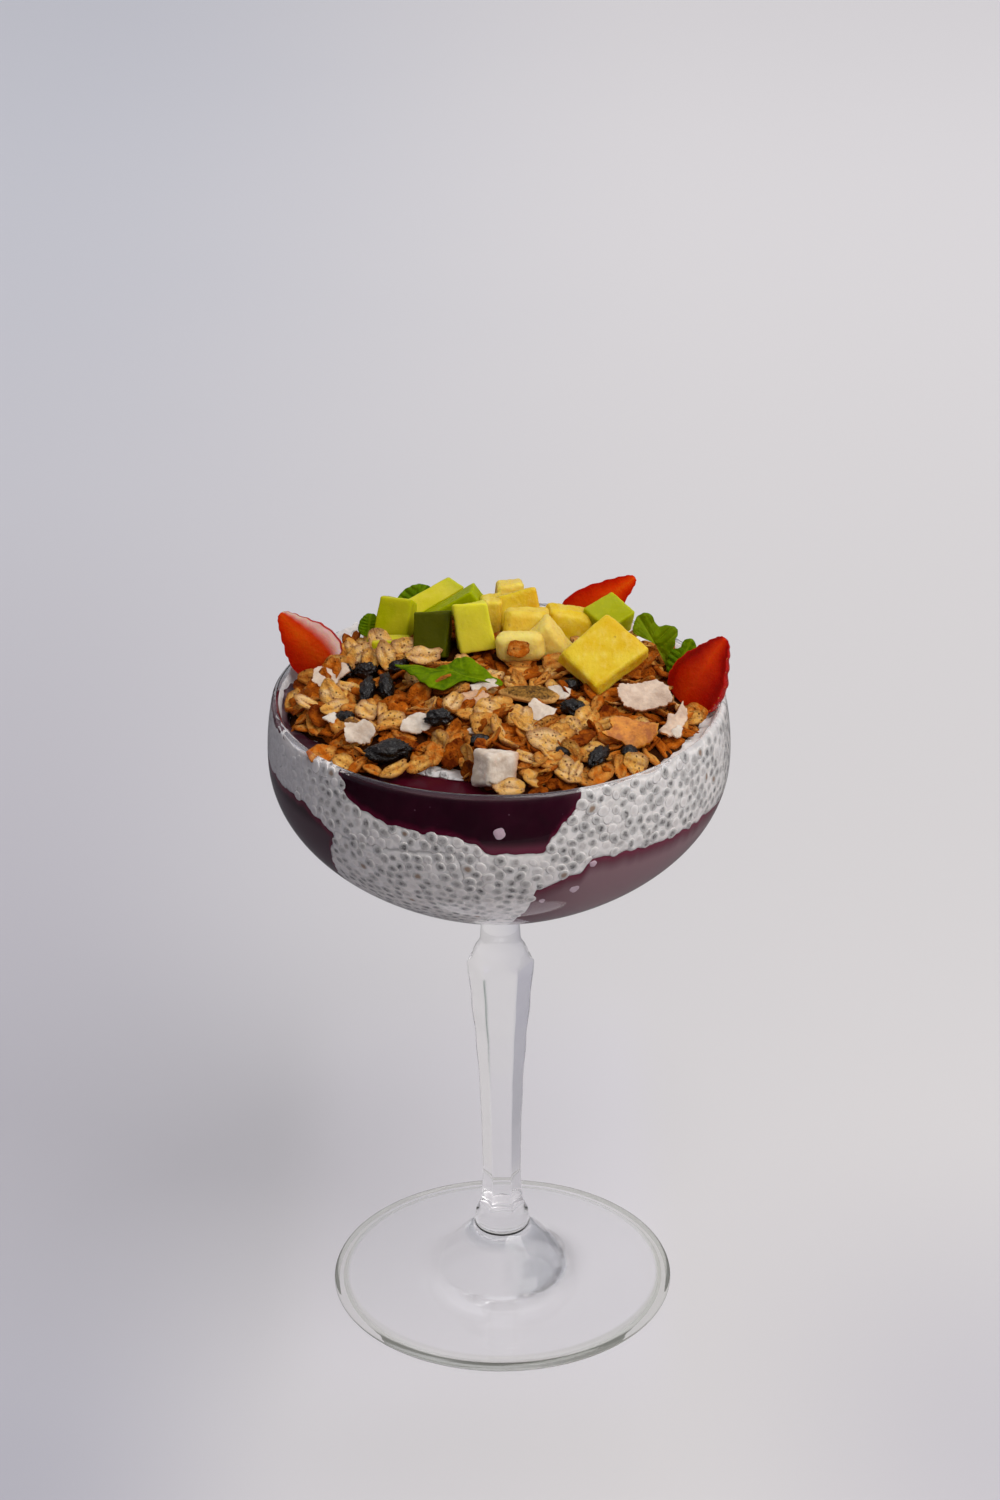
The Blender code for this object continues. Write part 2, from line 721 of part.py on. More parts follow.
def makeLeaves(pile):
    def leaf(name, spot, shape, turns):
        obj = pile.lay(name, "mint", leafShape(*shape), spot, *turns)
        shadeSoft(obj)
        return obj

    return [
        leaf("mint_front", (-10.6, -5.4), (23.0, 11.5, 10), (-6, 14, 3)),
        leaf("mint_back", (-18.6, 34.8), (10.5, 9.0, 8), (10, 62, -10)),
        leaf("mint_left", (-29.6, 21.4), (6.4, 6.4, 8), (16, 58, -8)),
        leaf("mint_right", (34.4, 13.0), (13.0, 12.0, 10, 0.05, 0.12), (20, 66, -36)),
        leaf("mint_right_low", (40.0, 9.4), (8.6, 8.0, 8, 0.05), (30, 62, -12)),
    ]


def makeCoconut(pile):
    def chip(name, spot, shape, turns):
        obj = pile.lay(name, "coconut", chipShape(*shape), spot, *turns)
        shadeSoft(obj)
        return obj

    return [
        chip("coconut_front", (-0.8, -38.6), (9.4, 7.4, 1), (12, 38, -6)),
        chip("coconut_white_right", (32.8, -11.6), (10.6, 7.4, 2), (-8, 30, 4)),
        chip("coconut_white_left", (-18.2, -20.6), (7.2, 5.8, 3), (6, 28, 3)),
        chip("coconut_far_left", (-30.4, -22.6), (6.8, 5.2, 4), (-12, 30, -8)),
        chip("coconut_toasted", (27.4, -25.6), (12.2, 7.8, 5, 0.03), (16, 26, 6)),
        chip("coconut_half_moon", (37.4, -18.2), (9.8, 5.0, 6), (74, 12, 10)),
        chip("coconut_middle", (9.2, -17.4), (6.6, 5.4, 7), (-20, 30, 6)),
        chip("coconut_back_left", (-38.4, 1.2), (7.4, 5.6, 8), (4, 28, -4)),
    ]


def makePebbles(pile):
    """Raisins, a black grain and a pumpkin seed, lying on the heap."""
    def pebble(name, spot, shape, yaw, tilt=4, roll=0):
        kind = "seed" if name.endswith("seed") else "raisin"
        obj = pile.lay(name, kind, pebbleShape(*shape), spot, yaw, tilt, roll)
        shadeSoft(obj, 60)
        return obj

    return [
        pebble("raisin_front", (-23.0, -31.0), ((9.8, 5.6, 4.6), 1, 0.3), 10, 8, -6),
        pebble("raisin_left_a", (-33.8, 6.2), ((5.4, 3.8, 3.4), 2), 14),
        pebble("raisin_left_b", (-28.7, 5.6), ((5.2, 3.8, 3.4), 3), 8),
        pebble("raisin_mid_a", (-28.2, -4.2), ((6.2, 3.2, 3.4), 4), 82),
        pebble("raisin_mid_b", (-24.2, -3.2), ((6.2, 3.2, 3.4), 5), 96),
        pebble("raisin_centre", (-12.8, -21.4), ((5.6, 3.8, 3.4), 6), 4),
        pebble("raisin_right", (15.8, -15.4), ((5.4, 3.8, 3.4), 7), -20),
        pebble("black_grain", (20.8, -33.6), ((7.2, 3.3, 3.0), 8), 62),
        pebble("pumpkin_seed", (6.6, -9.4), ((13.2, 6.0, 2.5), 9, 0.05), -4, 14, 3),
    ]


# ---- build -----------------------------------------------------------------
def build():
    startEmpty()
    glass = makeGlass()
    filling = makeLayers() + [makeSmear()]
    core = makeCore()
    pile = Pile([glass, core] + filling)
    toppings = makeFruit(pile) + makeStrawberries(pile) + makeLeaves(pile)
    toppings += makeCoconut(pile) + makePebbles(pile)
    fuseFlakes(core, toppings + filling + [glass])
    cup = bpy.data.objects.new("cup", None)
    bpy.context.scene.collection.objects.link(cup)
    for obj in [glass, core] + filling + toppings:
        obj.parent = cup


build()
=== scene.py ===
import json
import math
import random

import bmesh
import bpy
from mathutils import Matrix, Vector, noise

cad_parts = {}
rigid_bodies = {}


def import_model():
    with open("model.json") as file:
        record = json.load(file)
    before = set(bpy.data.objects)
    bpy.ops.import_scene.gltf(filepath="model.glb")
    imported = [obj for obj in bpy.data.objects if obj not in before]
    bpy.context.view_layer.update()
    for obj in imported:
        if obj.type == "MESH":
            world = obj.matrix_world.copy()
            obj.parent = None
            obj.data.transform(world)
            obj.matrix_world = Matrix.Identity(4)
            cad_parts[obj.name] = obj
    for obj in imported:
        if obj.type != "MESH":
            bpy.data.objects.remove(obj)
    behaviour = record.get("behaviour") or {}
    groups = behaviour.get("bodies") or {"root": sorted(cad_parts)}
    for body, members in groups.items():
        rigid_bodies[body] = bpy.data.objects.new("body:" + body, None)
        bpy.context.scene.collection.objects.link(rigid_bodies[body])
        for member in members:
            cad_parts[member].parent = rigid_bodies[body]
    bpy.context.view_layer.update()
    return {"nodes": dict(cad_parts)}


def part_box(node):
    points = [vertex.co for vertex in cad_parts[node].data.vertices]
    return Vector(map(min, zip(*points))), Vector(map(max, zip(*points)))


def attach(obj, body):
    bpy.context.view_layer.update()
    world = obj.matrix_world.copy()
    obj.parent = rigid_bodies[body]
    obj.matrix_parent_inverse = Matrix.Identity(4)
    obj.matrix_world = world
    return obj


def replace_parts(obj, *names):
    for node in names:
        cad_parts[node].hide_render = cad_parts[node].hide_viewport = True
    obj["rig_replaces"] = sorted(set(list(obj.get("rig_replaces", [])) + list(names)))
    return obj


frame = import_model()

mm = 0.001
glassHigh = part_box("glass")[1]
print("frame loaded:", len(frame["nodes"]), "nodes")


# Shader maths: one socket of a material, on which sums add Math nodes.
class Paint:
    def __init__(self, tree, socket=None):
        self.tree = tree
        self.socket = socket

    def node(self, kind, settings=None, inputs=None, output=0):
        made = self.tree.nodes.new(kind if "Node" in kind else "ShaderNode" + kind)
        for key, value in (settings or {}).items():
            if key == "stops":
                setStops(made.color_ramp, value)
            else:
                setattr(made, key, value)
        for key, value in (inputs or {}).items():
            if isinstance(value, Paint):
                self.tree.links.new(value.socket, made.inputs[key])
            else:
                made.inputs[key].default_value = value
        return Paint(self.tree, made.outputs[output])

    def math(self, operation, first, second=0.0, clamp=False):
        settings = {"operation": operation, "use_clamp": clamp}
        return self.node("Math", settings, {0: first, 1: second})

    def __add__(self, other):
        return self.math("ADD", self, other)

    def __radd__(self, other):
        return self.math("ADD", other, self)

    def __sub__(self, other):
        return self.math("SUBTRACT", self, other)

    def __rsub__(self, other):
        return self.math("SUBTRACT", other, self)

    def __mul__(self, other):
        return self.math("MULTIPLY", self, other)

    def __rmul__(self, other):
        return self.math("MULTIPLY", other, self)

    def clamped(self):
        return self.math("ADD", self, 0.0, True)

    def most(self, other):
        return self.math("MAXIMUM", self, other)

    def step(self, low, high):  # smooth step from 0 at low to 1 at high
        settings = {"interpolation_type": "SMOOTHSTEP"}
        sockets = {"Value": self, "From Min": low, "From Max": high}
        return self.node("MapRange", settings, sockets)

    def fade(self, low, high):  # smooth step from 1 at low down to 0 at high
        return 1.0 - self.step(low, high)

    def band(self, start, full, last, end):  # 1 from full to last, 0 outside start and end
        return self.step(start, full) * self.fade(last, end)

    def ramp(self, *stops):
        return self.node("ValToRGB", {"stops": stops}, {"Fac": self})

    def mix(self, low, high):  # colour between two, by this value
        sockets = {0: self, 6: low, 7: high}
        return self.node("Mix", {"data_type": "RGBA"}, sockets, 2)

    def place(self):  # the object's own coordinates, in metres
        return self.node("TexCoord", output=3)

    def parts(self):  # the x, y and z of this vector
        split = self.node("SeparateXYZ", None, {0: self}).socket.node
        return [Paint(self.tree, socket) for socket in split.outputs]

    def upward(self):  # how much the surface looks up, 1 where it is level
        return self.node("NewGeometry", output="Normal").parts()[2]

    def ray(self, kind):  # 1 for light rays of this kind
        return self.node("LightPath", output=f"Is {kind} Ray")

    def attribute(self, name):
        return self.node("Attribute", {"attribute_name": name}, output=2)

    def cloud(self, size, detail=2.0, rough=0.5, stretch=None):
        # soft noise from 0 to 1 with lumps of this size in metres
        place = self.place()
        if stretch:
            place = place.node("Mapping", None, {"Vector": place, "Scale": stretch})
        sockets = {"Vector": place, "Scale": 1.0 / size, "Detail": detail,
                   "Roughness": rough}
        return self.node("TexNoise", None, sockets)

    def cells(self, size, feature="F1", randomness=1.0):
        sockets = {"Vector": self.place(), "Scale": 1.0 / size, "Randomness": randomness}
        return self.node("TexVoronoi", {"feature": feature}, sockets)

    def dots(self, size, small, large):  # one round dot for each cell, soft from small to large
        return self.cells(size).fade(small, large)

    def bump(self, depth, strength):  # this value as relief of that depth in metres
        sockets = {"Height": self, "Distance": depth, "Strength": strength}
        return self.node("Bump", None, sockets)


def setStops(ramp, stops):
    ends = ramp.elements
    ends[0].position, ends[0].color = stops[0]
    ends[1].position, ends[1].color = stops[-1]
    for place, colour in stops[1:-1]:
        ends.new(place).color = colour


def tint(red, green, blue):  # a screen colour from 0 to 255, as the shaders want it
    linear = []
    for value in (red, green, blue):
        share = value / 255
        linear.append(share / 12.92 if share < 0.04045 else ((share + 0.055) / 1.055) ** 2.4)
    return (*linear, 1.0)


def startLook(name):
    # new material with one Principled shader, and a first Paint on its nodes
    material = bpy.data.materials.new(name)
    material.use_nodes = True
    return material, Paint(material.node_tree)


def finishLook(material, colour, rough, relief=None, shine=0.5, spread=None, coat=None,
               **others):
    # spread is how much light goes on inside, how far in metres, and for which colours;
    # coat is how much wet skin there is and how rough that is
    values = {"Base Color": colour, "Roughness": rough, "Specular IOR Level": shine}
    if relief:
        values["Normal"] = relief
    if spread:
        keys = ("Subsurface Weight", "Subsurface Scale", "Subsurface Radius")
        values.update(zip(keys, spread))
    if coat:
        values.update(zip(("Coat Weight", "Coat Roughness"), coat))
    values.update(others)
    tree = material.node_tree
    for key, value in values.items():
        socket = tree.nodes["Principled BSDF"].inputs[key.replace("_", " ")]
        if isinstance(value, Paint):
            tree.links.new(value.socket, socket)
        else:
            socket.default_value = value
    return material


def coverLook(material, share, cover):
    # lays a second shader over what the material shows so far
    tree = material.node_tree
    surface = tree.nodes["Material Output"].inputs["Surface"]
    under = Paint(tree, surface.links[0].from_socket)
    mixed = under.node("MixShader", None, {0: share, 1: under, 2: cover})
    tree.links.new(mixed.socket, surface)


# Mesh tools. Every shape is worked out in millimetres and stored in metres.
def makePiece(name, shape, material, attributes=None):
    points, faces = shape
    mesh = bpy.data.meshes.new(name)
    mesh.from_pydata([tuple(c * mm for c in p) for p in points], [], faces)
    for key, values in (attributes or {}).items():
        layer = mesh.attributes.new(key, "FLOAT", "POINT")
        layer.data.foreach_set("value", values)
    mesh.shade_smooth()
    mesh.materials.append(material)
    piece = bpy.data.objects.new(name, mesh)
    bpy.context.scene.collection.objects.link(piece)
    return piece


def handOver(piece, *nodes, slot):
    if nodes:
        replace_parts(piece, *nodes)
    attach(piece, "root")
    return piece


def turnOutwards(piece):
    work = bmesh.new()
    work.from_mesh(piece.data)
    bmesh.ops.recalc_face_normals(work, faces=work.faces)
    if work.calc_volume(signed=True) < 0:
        bmesh.ops.reverse_faces(work, faces=work.faces)
    work.to_mesh(piece.data)
    work.free()


def addPiece(name, shape, look, slot, node=None, attributes=None, sharpFrom=None):
    # a closed piece, for the CAD node that it stands for, if there is one
    piece = makePiece(name, shape, look, attributes)
    turnOutwards(piece)
    if sharpFrom:
        piece.data.set_sharp_from_angle(angle=math.radians(sharpFrom))
    return handOver(piece, *([node] if node else []), slot=slot)


def nameOf(node, first=None):  # a piece's name from its node's name
    head, *rest = node.split("_")
    return (first or head) + "".join(word.title() for word in rest)


def joinShapes(parts):
    # parts are (points, faces, {attribute: values}); returns one of the same
    points, faces, attributes = [], [], {}
    for somePoints, someFaces, someValues in parts:
        first = len(points)
        points.extend(somePoints)
        faces.extend(tuple(first + i for i in face) for face in someFaces)
        for key, values in someValues.items():
            attributes.setdefault(key, []).extend(values)
    return points, faces, attributes


def tubeFaces(rows, columns):  # quads between rings of points, closed round
    faces = []
    for i in range(rows - 1):
        for j in range(columns):
            k = (j + 1) % columns
            a, b = i * columns, (i + 1) * columns
            faces.append((a + j, a + k, b + k, b + j))
    return faces


def shellFaces(rings, around):
    # faces over a first point, rings of points and a last point
    last = 1 + rings * around
    faces = []
    for j in range(around):
        k = (j + 1) % around
        faces.append((0, 1 + j, 1 + k))
        for ring in range(rings - 1):
            a, b = 1 + ring * around, 1 + (ring + 1) * around
            faces.append((a + j, b + j, b + k, a + k))
        outer = last - around
        faces.append((outer + j, last, outer + k))
    return faces


def lathe(rings, bottomPole, topPole):
    columns = len(rings[0])
    points = [p for ring in rings for p in ring]
    faces = tubeFaces(len(rings), columns)
    low, high = len(points), len(points) + 1
    last = (len(rings) - 1) * columns
    for j in range(columns):
        k = (j + 1) % columns
        faces.append((low, k, j))
        faces.append((high, last + j, last + k))
    return points + [bottomPole, topPole], faces


def polar(radius, angle):  # plan position; angle 0 is the front, +90 the right
    a = math.radians(angle)
    return radius * math.sin(a), -radius * math.cos(a)


def planAngle(x, y):
    return math.degrees(math.atan2(x, -y))


def curveThrough(keys, value):
    if value <= keys[0][0]:
        return keys[0][1]
    for (a, low), (b, high) in zip(keys, keys[1:]):
        if value <= b:
            t = (value - a) / (b - a)
            return low + (high - low) * t * t * (3 - 2 * t)
    return keys[-1][1]


def curveRound(keys, angle):  # the same, closed round the circle
    angle = (angle + 180.0) % 360.0 - 180.0
    before = (keys[-1][0] - 360, keys[-1][1])
    after = (keys[0][0] + 360, keys[0][1])
    return curveThrough([before] + keys + [after], angle)


def between(a, b, c, d, t):  # Catmull-Rom curve from b to c
    return 0.5 * (2 * b + (c - a) * t + (2 * a - 5 * b + 4 * c - d) * t * t
                  + (3 * b - a - 3 * c + d) * t ** 3)


def sweepThrough(keys, steps):  # the curve through (radius, height) keys
    path = []
    for i in range(len(keys) - 1):
        p0, p1 = keys[max(i - 1, 0)], keys[i]
        p2, p3 = keys[i + 1], keys[min(i + 2, len(keys) - 1)]
        for n in range(steps):
            path.append(tuple(between(a, b, c, d, n / steps)
                              for a, b, c, d in zip(p0, p1, p2, p3)))
    return path + [keys[-1]]


def ripple(x, y, size, height, layer):
    return height * noise.noise(Vector((x / size, y / size, layer)))


def turned(points, yaw=0.0, tilt=0.0, roll=0.0):
    turn = (Matrix.Rotation(math.radians(roll), 4, "Y")
            @ Matrix.Rotation(math.radians(tilt), 4, "X")
            @ Matrix.Rotation(math.radians(yaw), 4, "Z"))
    return [turn @ Vector(p) for p in points]


def settleAt(points, turns, node, shift=(0, 0, 0)):
    # turns the points and moves them so that their box is centred on the node's box,
    # or off it by the shift
    points = turned(points, *turns)
    low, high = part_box(node)
    centre = (low + high) / 2 / mm
    middle = Vector([(min(p[i] for p in points) + max(p[i] for p in points)) / 2
                     for i in range(3)])
    return [Vector(p) + centre - middle + Vector(shift) for p in points]


# The cup
cup = {
    "rimHeight": glassHigh.z / mm,
    "bowlRadius": glassHigh.x / mm,
    "rimIn": 1.32,        # rim inside the widest place
    "widestBelow": 12.2,  # widest place below the rim
    "depth": 39.7,        # widest place down to the bottom of the bowl
    "side": 2.22,         # how full the lower bowl is
    "ease": 0.82,         # how soon it turns in to the stem
    "wall": 1.4,
    "floor": 2.9,         # glass under the food
    "lip": 0.7,           # height of the rounded rim
    "bowlSteps": 64,
    "upperSteps": 10,
    "lipSteps": 8,
    "footRadius": 38.9,
    "footRing": 36.6,
    "hollow": 0.8,        # under the middle of the foot
    # the foot's edge as (inside the foot's radius, height), then its dome and collar
    "footEdge": [(1.6, 0.0), (0.5, 0.35), (0.0, 1.1), (0.5, 2.1), (2.2, 2.65), (6.0, 2.9)],
    "footDome": [(27.0, 3.4), (20.0, 4.2), (16.2, 5.1), (14.0, 6.6), (12.3, 8.8),
                 (10.5, 11.2), (8.4, 13.4), (6.8, 15.2), (6.2, 16.4), (6.2, 17.6),
                 (5.8, 19.0), (5.1, 20.4)],
    "neck": [(4.31, 95.4), (4.32, 96.6), (4.5, 97.5), (5.5, 98.5)],
    "neckInto": 1.9,      # the neck's last ring above the bottom of the bowl
    "stemSides": 6,
    # (height, reach of the corners) and (height, radius that rounds them off)
    "stemCorner": [(24, 4.6), (29, 4.3), (40, 4.5), (53, 4.95), (64, 5.7), (74, 6.65),
                   (84, 7.5), (87, 7.6)],
    "stemRound": [(21, 4.4), (25, 6.2), (80, 8.2), (83.2, 7.9), (86.5, 6.1), (90, 4.5),
                  (94, 4.3)],
    "stemFrom": 22.0,
    "stemStep": 0.9,
    "stemRings": 81,
    "around": 180,
    # painted dark line on the front's left corner, standing in for a refraction line, and a
    # painted bluish-grey reflection on the facet to the right of it
    "lineAngle": 330, "lineWidth": 2.4, "lineFrom": 52, "lineFull": 68, "lineEnd": 83,
    "facetAngles": (32, 86), "facetHeights": (32, 85),
}
bowlMid = cup["rimHeight"] - cup["widestBelow"]
rimRadius = cup["bowlRadius"] - cup["rimIn"]


def bowlRadius(z, inset=0.0):
    wide = cup["bowlRadius"] - inset
    if z >= bowlMid:
        t = (z - bowlMid) / cup["widestBelow"]
        return wide - cup["rimIn"] * t * t
    share = min(inset / cup["wall"], 1.0)
    depth = cup["depth"] - share * cup["floor"] - max(0.0, inset - cup["wall"])
    s = min(1.0, (bowlMid - z) / depth)
    return wide * (1 - s ** cup["side"]) ** cup["ease"]


def stemRadius(z, angle):
    corner = curveThrough(cup["stemCorner"], z)
    step = 360.0 / cup["stemSides"]
    off = math.radians((angle + step / 2) % step - step / 2)
    flat = corner * math.cos(math.radians(step / 2)) / math.cos(off)
    return min(curveThrough(cup["stemRound"], z), flat)


def cupProfile():
    # (radius, height) from the foot's ring up, over the rim and down inside
    edge, wall, count, upper = (cup[key] for key in
                                ("footRadius", "wall", "bowlSteps", "upperSteps"))
    foot = [(cup["footRing"], 0.0)] + [(edge - inset, z) for inset, z in cup["footEdge"]]
    foot = sweepThrough(foot + cup["footDome"], 5)
    stem = [(None, cup["stemFrom"] + cup["stemStep"] * i) for i in range(cup["stemRings"])]
    into = bowlMid - cup["depth"] + cup["neckInto"]
    neck = sweepThrough(cup["neck"] + [(bowlRadius(into), into)], 4)[:-1]
    lipTop = cup["rimHeight"] - cup["lip"]
    fullest = 0.952  # share of the bowl's depth where the neck meets it
    heights = [bowlMid - fullest * math.cos(0.5 * math.pi * i / count) * cup["depth"]
               for i in range(count + 1)]
    heights += [bowlMid + (lipTop - bowlMid) * i / upper for i in range(1, upper + 1)]
    bowl = [(bowlRadius(z), z) for z in heights]
    lip = []
    for i in range(1, cup["lipSteps"]):
        a = math.pi * i / cup["lipSteps"]
        lip.append((rimRadius - wall / 2 + wall / 2 * math.cos(a),
                    lipTop + cup["lip"] * math.sin(a)))
    innerDepth = cup["depth"] - cup["floor"]
    heights = [lipTop + (bowlMid - lipTop) * i / upper for i in range(upper + 1)]
    heights += [bowlMid - math.sin(0.5 * math.pi * i / count) * innerDepth
                for i in range(1, count)]
    inside = [(bowlRadius(z, wall), z) for z in heights]
    return foot + stem + neck + bowl + lip + inside, bowlMid - innerDepth


def makeGlassLook():
    material, paint = startLook("clear pressed glass")
    film = paint.cloud(0.03, 3.0, 0.6).step(0.35, 0.85)  # faint wiping marks
    waves = paint.cloud(0.022, 1.0)
    across, depth, height = paint.place().parts()
    radius = across * across + depth * depth  # squared
    # the foot's edge is painted grey and a little green, darker at the right: partly the glass's
    # own tint on the long way through, partly painted shade and painted reflection of darker
    # surroundings
    outer = radius.step(0.0352 ** 2, 0.0362 ** 2)
    brim = outer * height.band(0.0008, 0.0012, 0.004, 0.006)
    brimShade = across.step(0.0, 0.03).mix(tint(240, 240, 234), tint(222, 224, 215))
    clear = brim.mix(tint(255, 255, 255), brimShade)
    # painted reflection: a faint bluish grey on one stem facet, and a painted dark refraction
    # line on the corner left of it
    facetReflection = paint.attribute("facet").mix(clear, tint(247, 248, 253))
    shown = paint.attribute("line").mix(facetReflection, tint(96, 120, 110))
    finishLook(material, shown, film * 0.035, waves.bump(0.0004, 0.25),
               Transmission_Weight=1.0, IOR=1.5)
    # painted grey on the lower edge of the foot, standing in for what that edge refracts
    milkyEdgeShade = paint.node("BsdfDiffuse", None, {"Color": tint(200, 201, 194)})
    coverLook(material, outer * height.fade(0.0008, 0.0016) * 0.45, milkyEdgeShade)
    # light shines straight through the glass on to the food and the floor, and out
    # again of the thick parts, so that they don't turn black
    leaving = paint.node("NewGeometry", output="Backfacing")
    neck = height.band(0.0780, 0.0800, 0.1000, 0.1015) * leaving * 0.85
    sole = height.fade(0.0012, 0.0018) * radius.fade(0.026 ** 2, 0.034 ** 2)
    sole = sole * leaving * (1.0 - paint.ray("Glossy"))
    atLeft = across.fade(-0.001, 0.010) * 0.62 + 0.3
    dome = height.band(0.0040, 0.0054, 0.012, 0.015).most(sole) * atLeft
    through = paint.node("BsdfTransparent", None, {"Color": tint(254, 254, 254)})
    letThrough = paint.ray("Shadow").most(paint.ray("Diffuse")).most(neck).most(dome)
    coverLook(material, letThrough, through)
    return material


def makeCup():
    profile, floorHeight = cupProfile()
    rings, lines, facets = [], [], []
    first, last = cup["facetAngles"]
    lowest, highest = cup["facetHeights"]
    for radius, z in profile:
        ring = []
        lineShare = (z - cup["lineFrom"]) / (cup["lineFull"] - cup["lineFrom"])
        lineShare = min(1.0, max(0.0, lineShare)) if z < cup["lineEnd"] else 0.0
        onStem = radius is None and lowest < z < highest
        for j in range(cup["around"]):
            angle = 360.0 * j / cup["around"]
            here = stemRadius(z, angle) if radius is None else radius
            ring.append((*polar(here, angle), z))
            off = (angle - cup["lineAngle"]) / cup["lineWidth"]
            lines.append(lineShare * math.exp(-off ** 2))
            facets.append(1.0 if onStem and first <= angle <= last else 0.0)
        rings.append(ring)
    shape = lathe(rings, (0, 0, cup["hollow"]), (0, 0, floorHeight))
    addPiece("glassCup", shape, makeGlassLook(), "glass", "glass",
             {"line": lines + [0.0, 0.0], "facet": facets + [0.0, 0.0]})


makeCup()
print("glass made")


# The food in the bowl. Heights at the wall are (angle, millimetres) keys.
filling = {
    "intoGlass": 0.35,     # how far the food reaches into the wall
    "wallAt": 47.9,
    "middle": 146.9,       # height of the food in the middle
    "rows": 30,
    "grooveDepth": 0.30,   # crease where two layers meet
    "grooveWidth": 0.45,
    "overlap": 0.6,        # a layer goes on this far under its neighbour
    "thinnest": 0.05,      # a thinner layer isn't there
    "scallop": 0.75,       # seeds make the edges of the layers uneven
    "scallopSize": 2.3,
    "berryInner": 34.8,    # the upper berry layer ends here on top
    "farEdge": 9.0,        # distance to an edge that isn't there
    "climb": 1.9,          # how far thick food stays up along the glass
    "climbFrom": 48.0,     # the glass, for that climb
    "climbWidth": 0.8,
    "outer": 46.0,         # where the keys of the food's top hold
    "inside": 5.0,         # distance to an edge, for what lies away from the wall
    "baseTop": [(-180, 111), (-120, 110), (-75, 112), (-54, 116), (-48.8, 125),
                (-46.4, 131), (-43.8, 134.7), (-30, 135.6), (-20, 135.9), (-11, 136.5),
                (-5, 118), (2, 101), (60, 101), (120, 104)],
    "lowerBerryTop": [(-180, 135), (-130, 137.5), (-71, 138), (-56, 138.1), (-50, 136.6),
                      (-45.5, 134.9), (-43, 131), (-38, 118), (-20, 104), (1, 108),
                      (7, 119), (9.5, 127.5), (20, 130.6), (23, 133.6), (50, 132.6),
                      (75, 131.5), (120, 133)],
    "upperBerryBottom": [(-180, 153), (-60, 153), (-46, 150.5), (-43, 147.6), (-40, 143.9),
                         (-34, 142.2), (-25, 140.7), (-12, 140.5), (-6, 139.1),
                         (-3, 136.9), (10.5, 136.6), (13, 140.6), (16, 143.2),
                         (19, 145.2), (21, 149), (40, 153)],
    "foodTop": [(-180, 148.2), (-135, 148.9), (-95, 146.6), (-65, 145.9), (-40, 146.6),
                (0, 146.6), (30, 147.2), (60, 147.7), (120, 147.8)],
}


def unevenEdge(angle, layer, amount=1.0):
    x, y = polar(filling["outer"], angle)
    big = ripple(x, y, filling["scallopSize"], filling["scallop"], layer)
    fine = ripple(x, y, 0.9, 0.18, layer + 3)
    return amount * (big + fine)


def baseTop(x, y):
    angle = planAngle(x, y)
    wall = curveRound(filling["baseTop"], angle)
    return wall + ripple(x, y, 9, 0.6, 1.0) + unevenEdge(angle, 20.0)


def lowerBerryTop(x, y):
    angle = planAngle(x, y)
    wall = curveRound(filling["lowerBerryTop"], angle)
    return wall + ripple(x, y, 8, 0.5, 5.0) + unevenEdge(angle, 30.0)


def upperBerryBottom(x, y):
    angle = planAngle(x, y)
    return curveRound(filling["upperBerryBottom"], angle) + unevenEdge(angle, 40.0, 0.8)


def foodTop(x, y):
    wall = curveRound(filling["foodTop"], planAngle(x, y))
    reach = min(1.0, math.hypot(x, y) / filling["outer"])
    return filling["middle"] + (wall - filling["middle"]) * reach ** 2


def roughTop(x, y):
    # the surface that shows, with soft lumps of seeds and a rise at the wall
    radius = math.hypot(x, y)
    lumps = ripple(x, y, 2.6, 0.35, 50.0) + ripple(x, y, 7.0, 0.5, 60.0)
    return foodTop(x, y) + lumps + wallClimb(radius, planAngle(x, y))


def wallClimb(radius, angle):  # thick food stays up along the glass, most at the left
    most = filling["climb"] + 0.8 * math.exp(-((angle + 75) / 35) ** 2)
    return most * math.exp(-(filling["climbFrom"] - radius) / filling["climbWidth"])


def roundAngles():
    front = [-78 + 0.4 * i for i in range(391)]
    back = [80.0 + 2.0 * i for i in range(101)]
    return front + back


def layerRing(under, over, angles, share, surface):
    # one ring at the wall: its points, how far each is from an edge, and where seeds lie
    ring, depths, seeded = [], [], []
    spare, far = filling["overlap"], filling["farEdge"]
    inset = cup["wall"] - filling["intoGlass"]
    bottom = bowlMid - cup["depth"] + cup["floor"] * inset / cup["wall"] + 0.01
    for angle in angles:
        x, y = polar(filling["wallAt"], angle)
        high = over(x, y)
        low = under(x, y) - spare if under else bottom
        thick = high - (low + spare if under else low)
        if thick < filling["thinnest"]:      # kept out of sight
            low, high = min(low, high) - 1.6, min(low, high) - 1.5
        z = low + (high - low) * share
        fromEdge = min(far if surface else high - z, z - low - spare if under else far)
        inward = filling["grooveDepth"] * math.exp(-max(fromEdge, 0.0)
                                                   / filling["grooveWidth"])
        inward += 0.9 * max(0.0, -fromEdge) + 2.0 * max(0.0, 0.8 - thick)
        radius = bowlRadius(z, inset) - inward
        radius += ripple(angle * 0.8, z, 2.4, 0.05, 70.0)
        ring.append((*polar(max(radius, 0.3), angle), z))
        depths.append(fromEdge)
        seeded.append(1.0 if fromEdge > 0.5 and thick > 1.0 else 0.0)
    return ring, depths, seeded


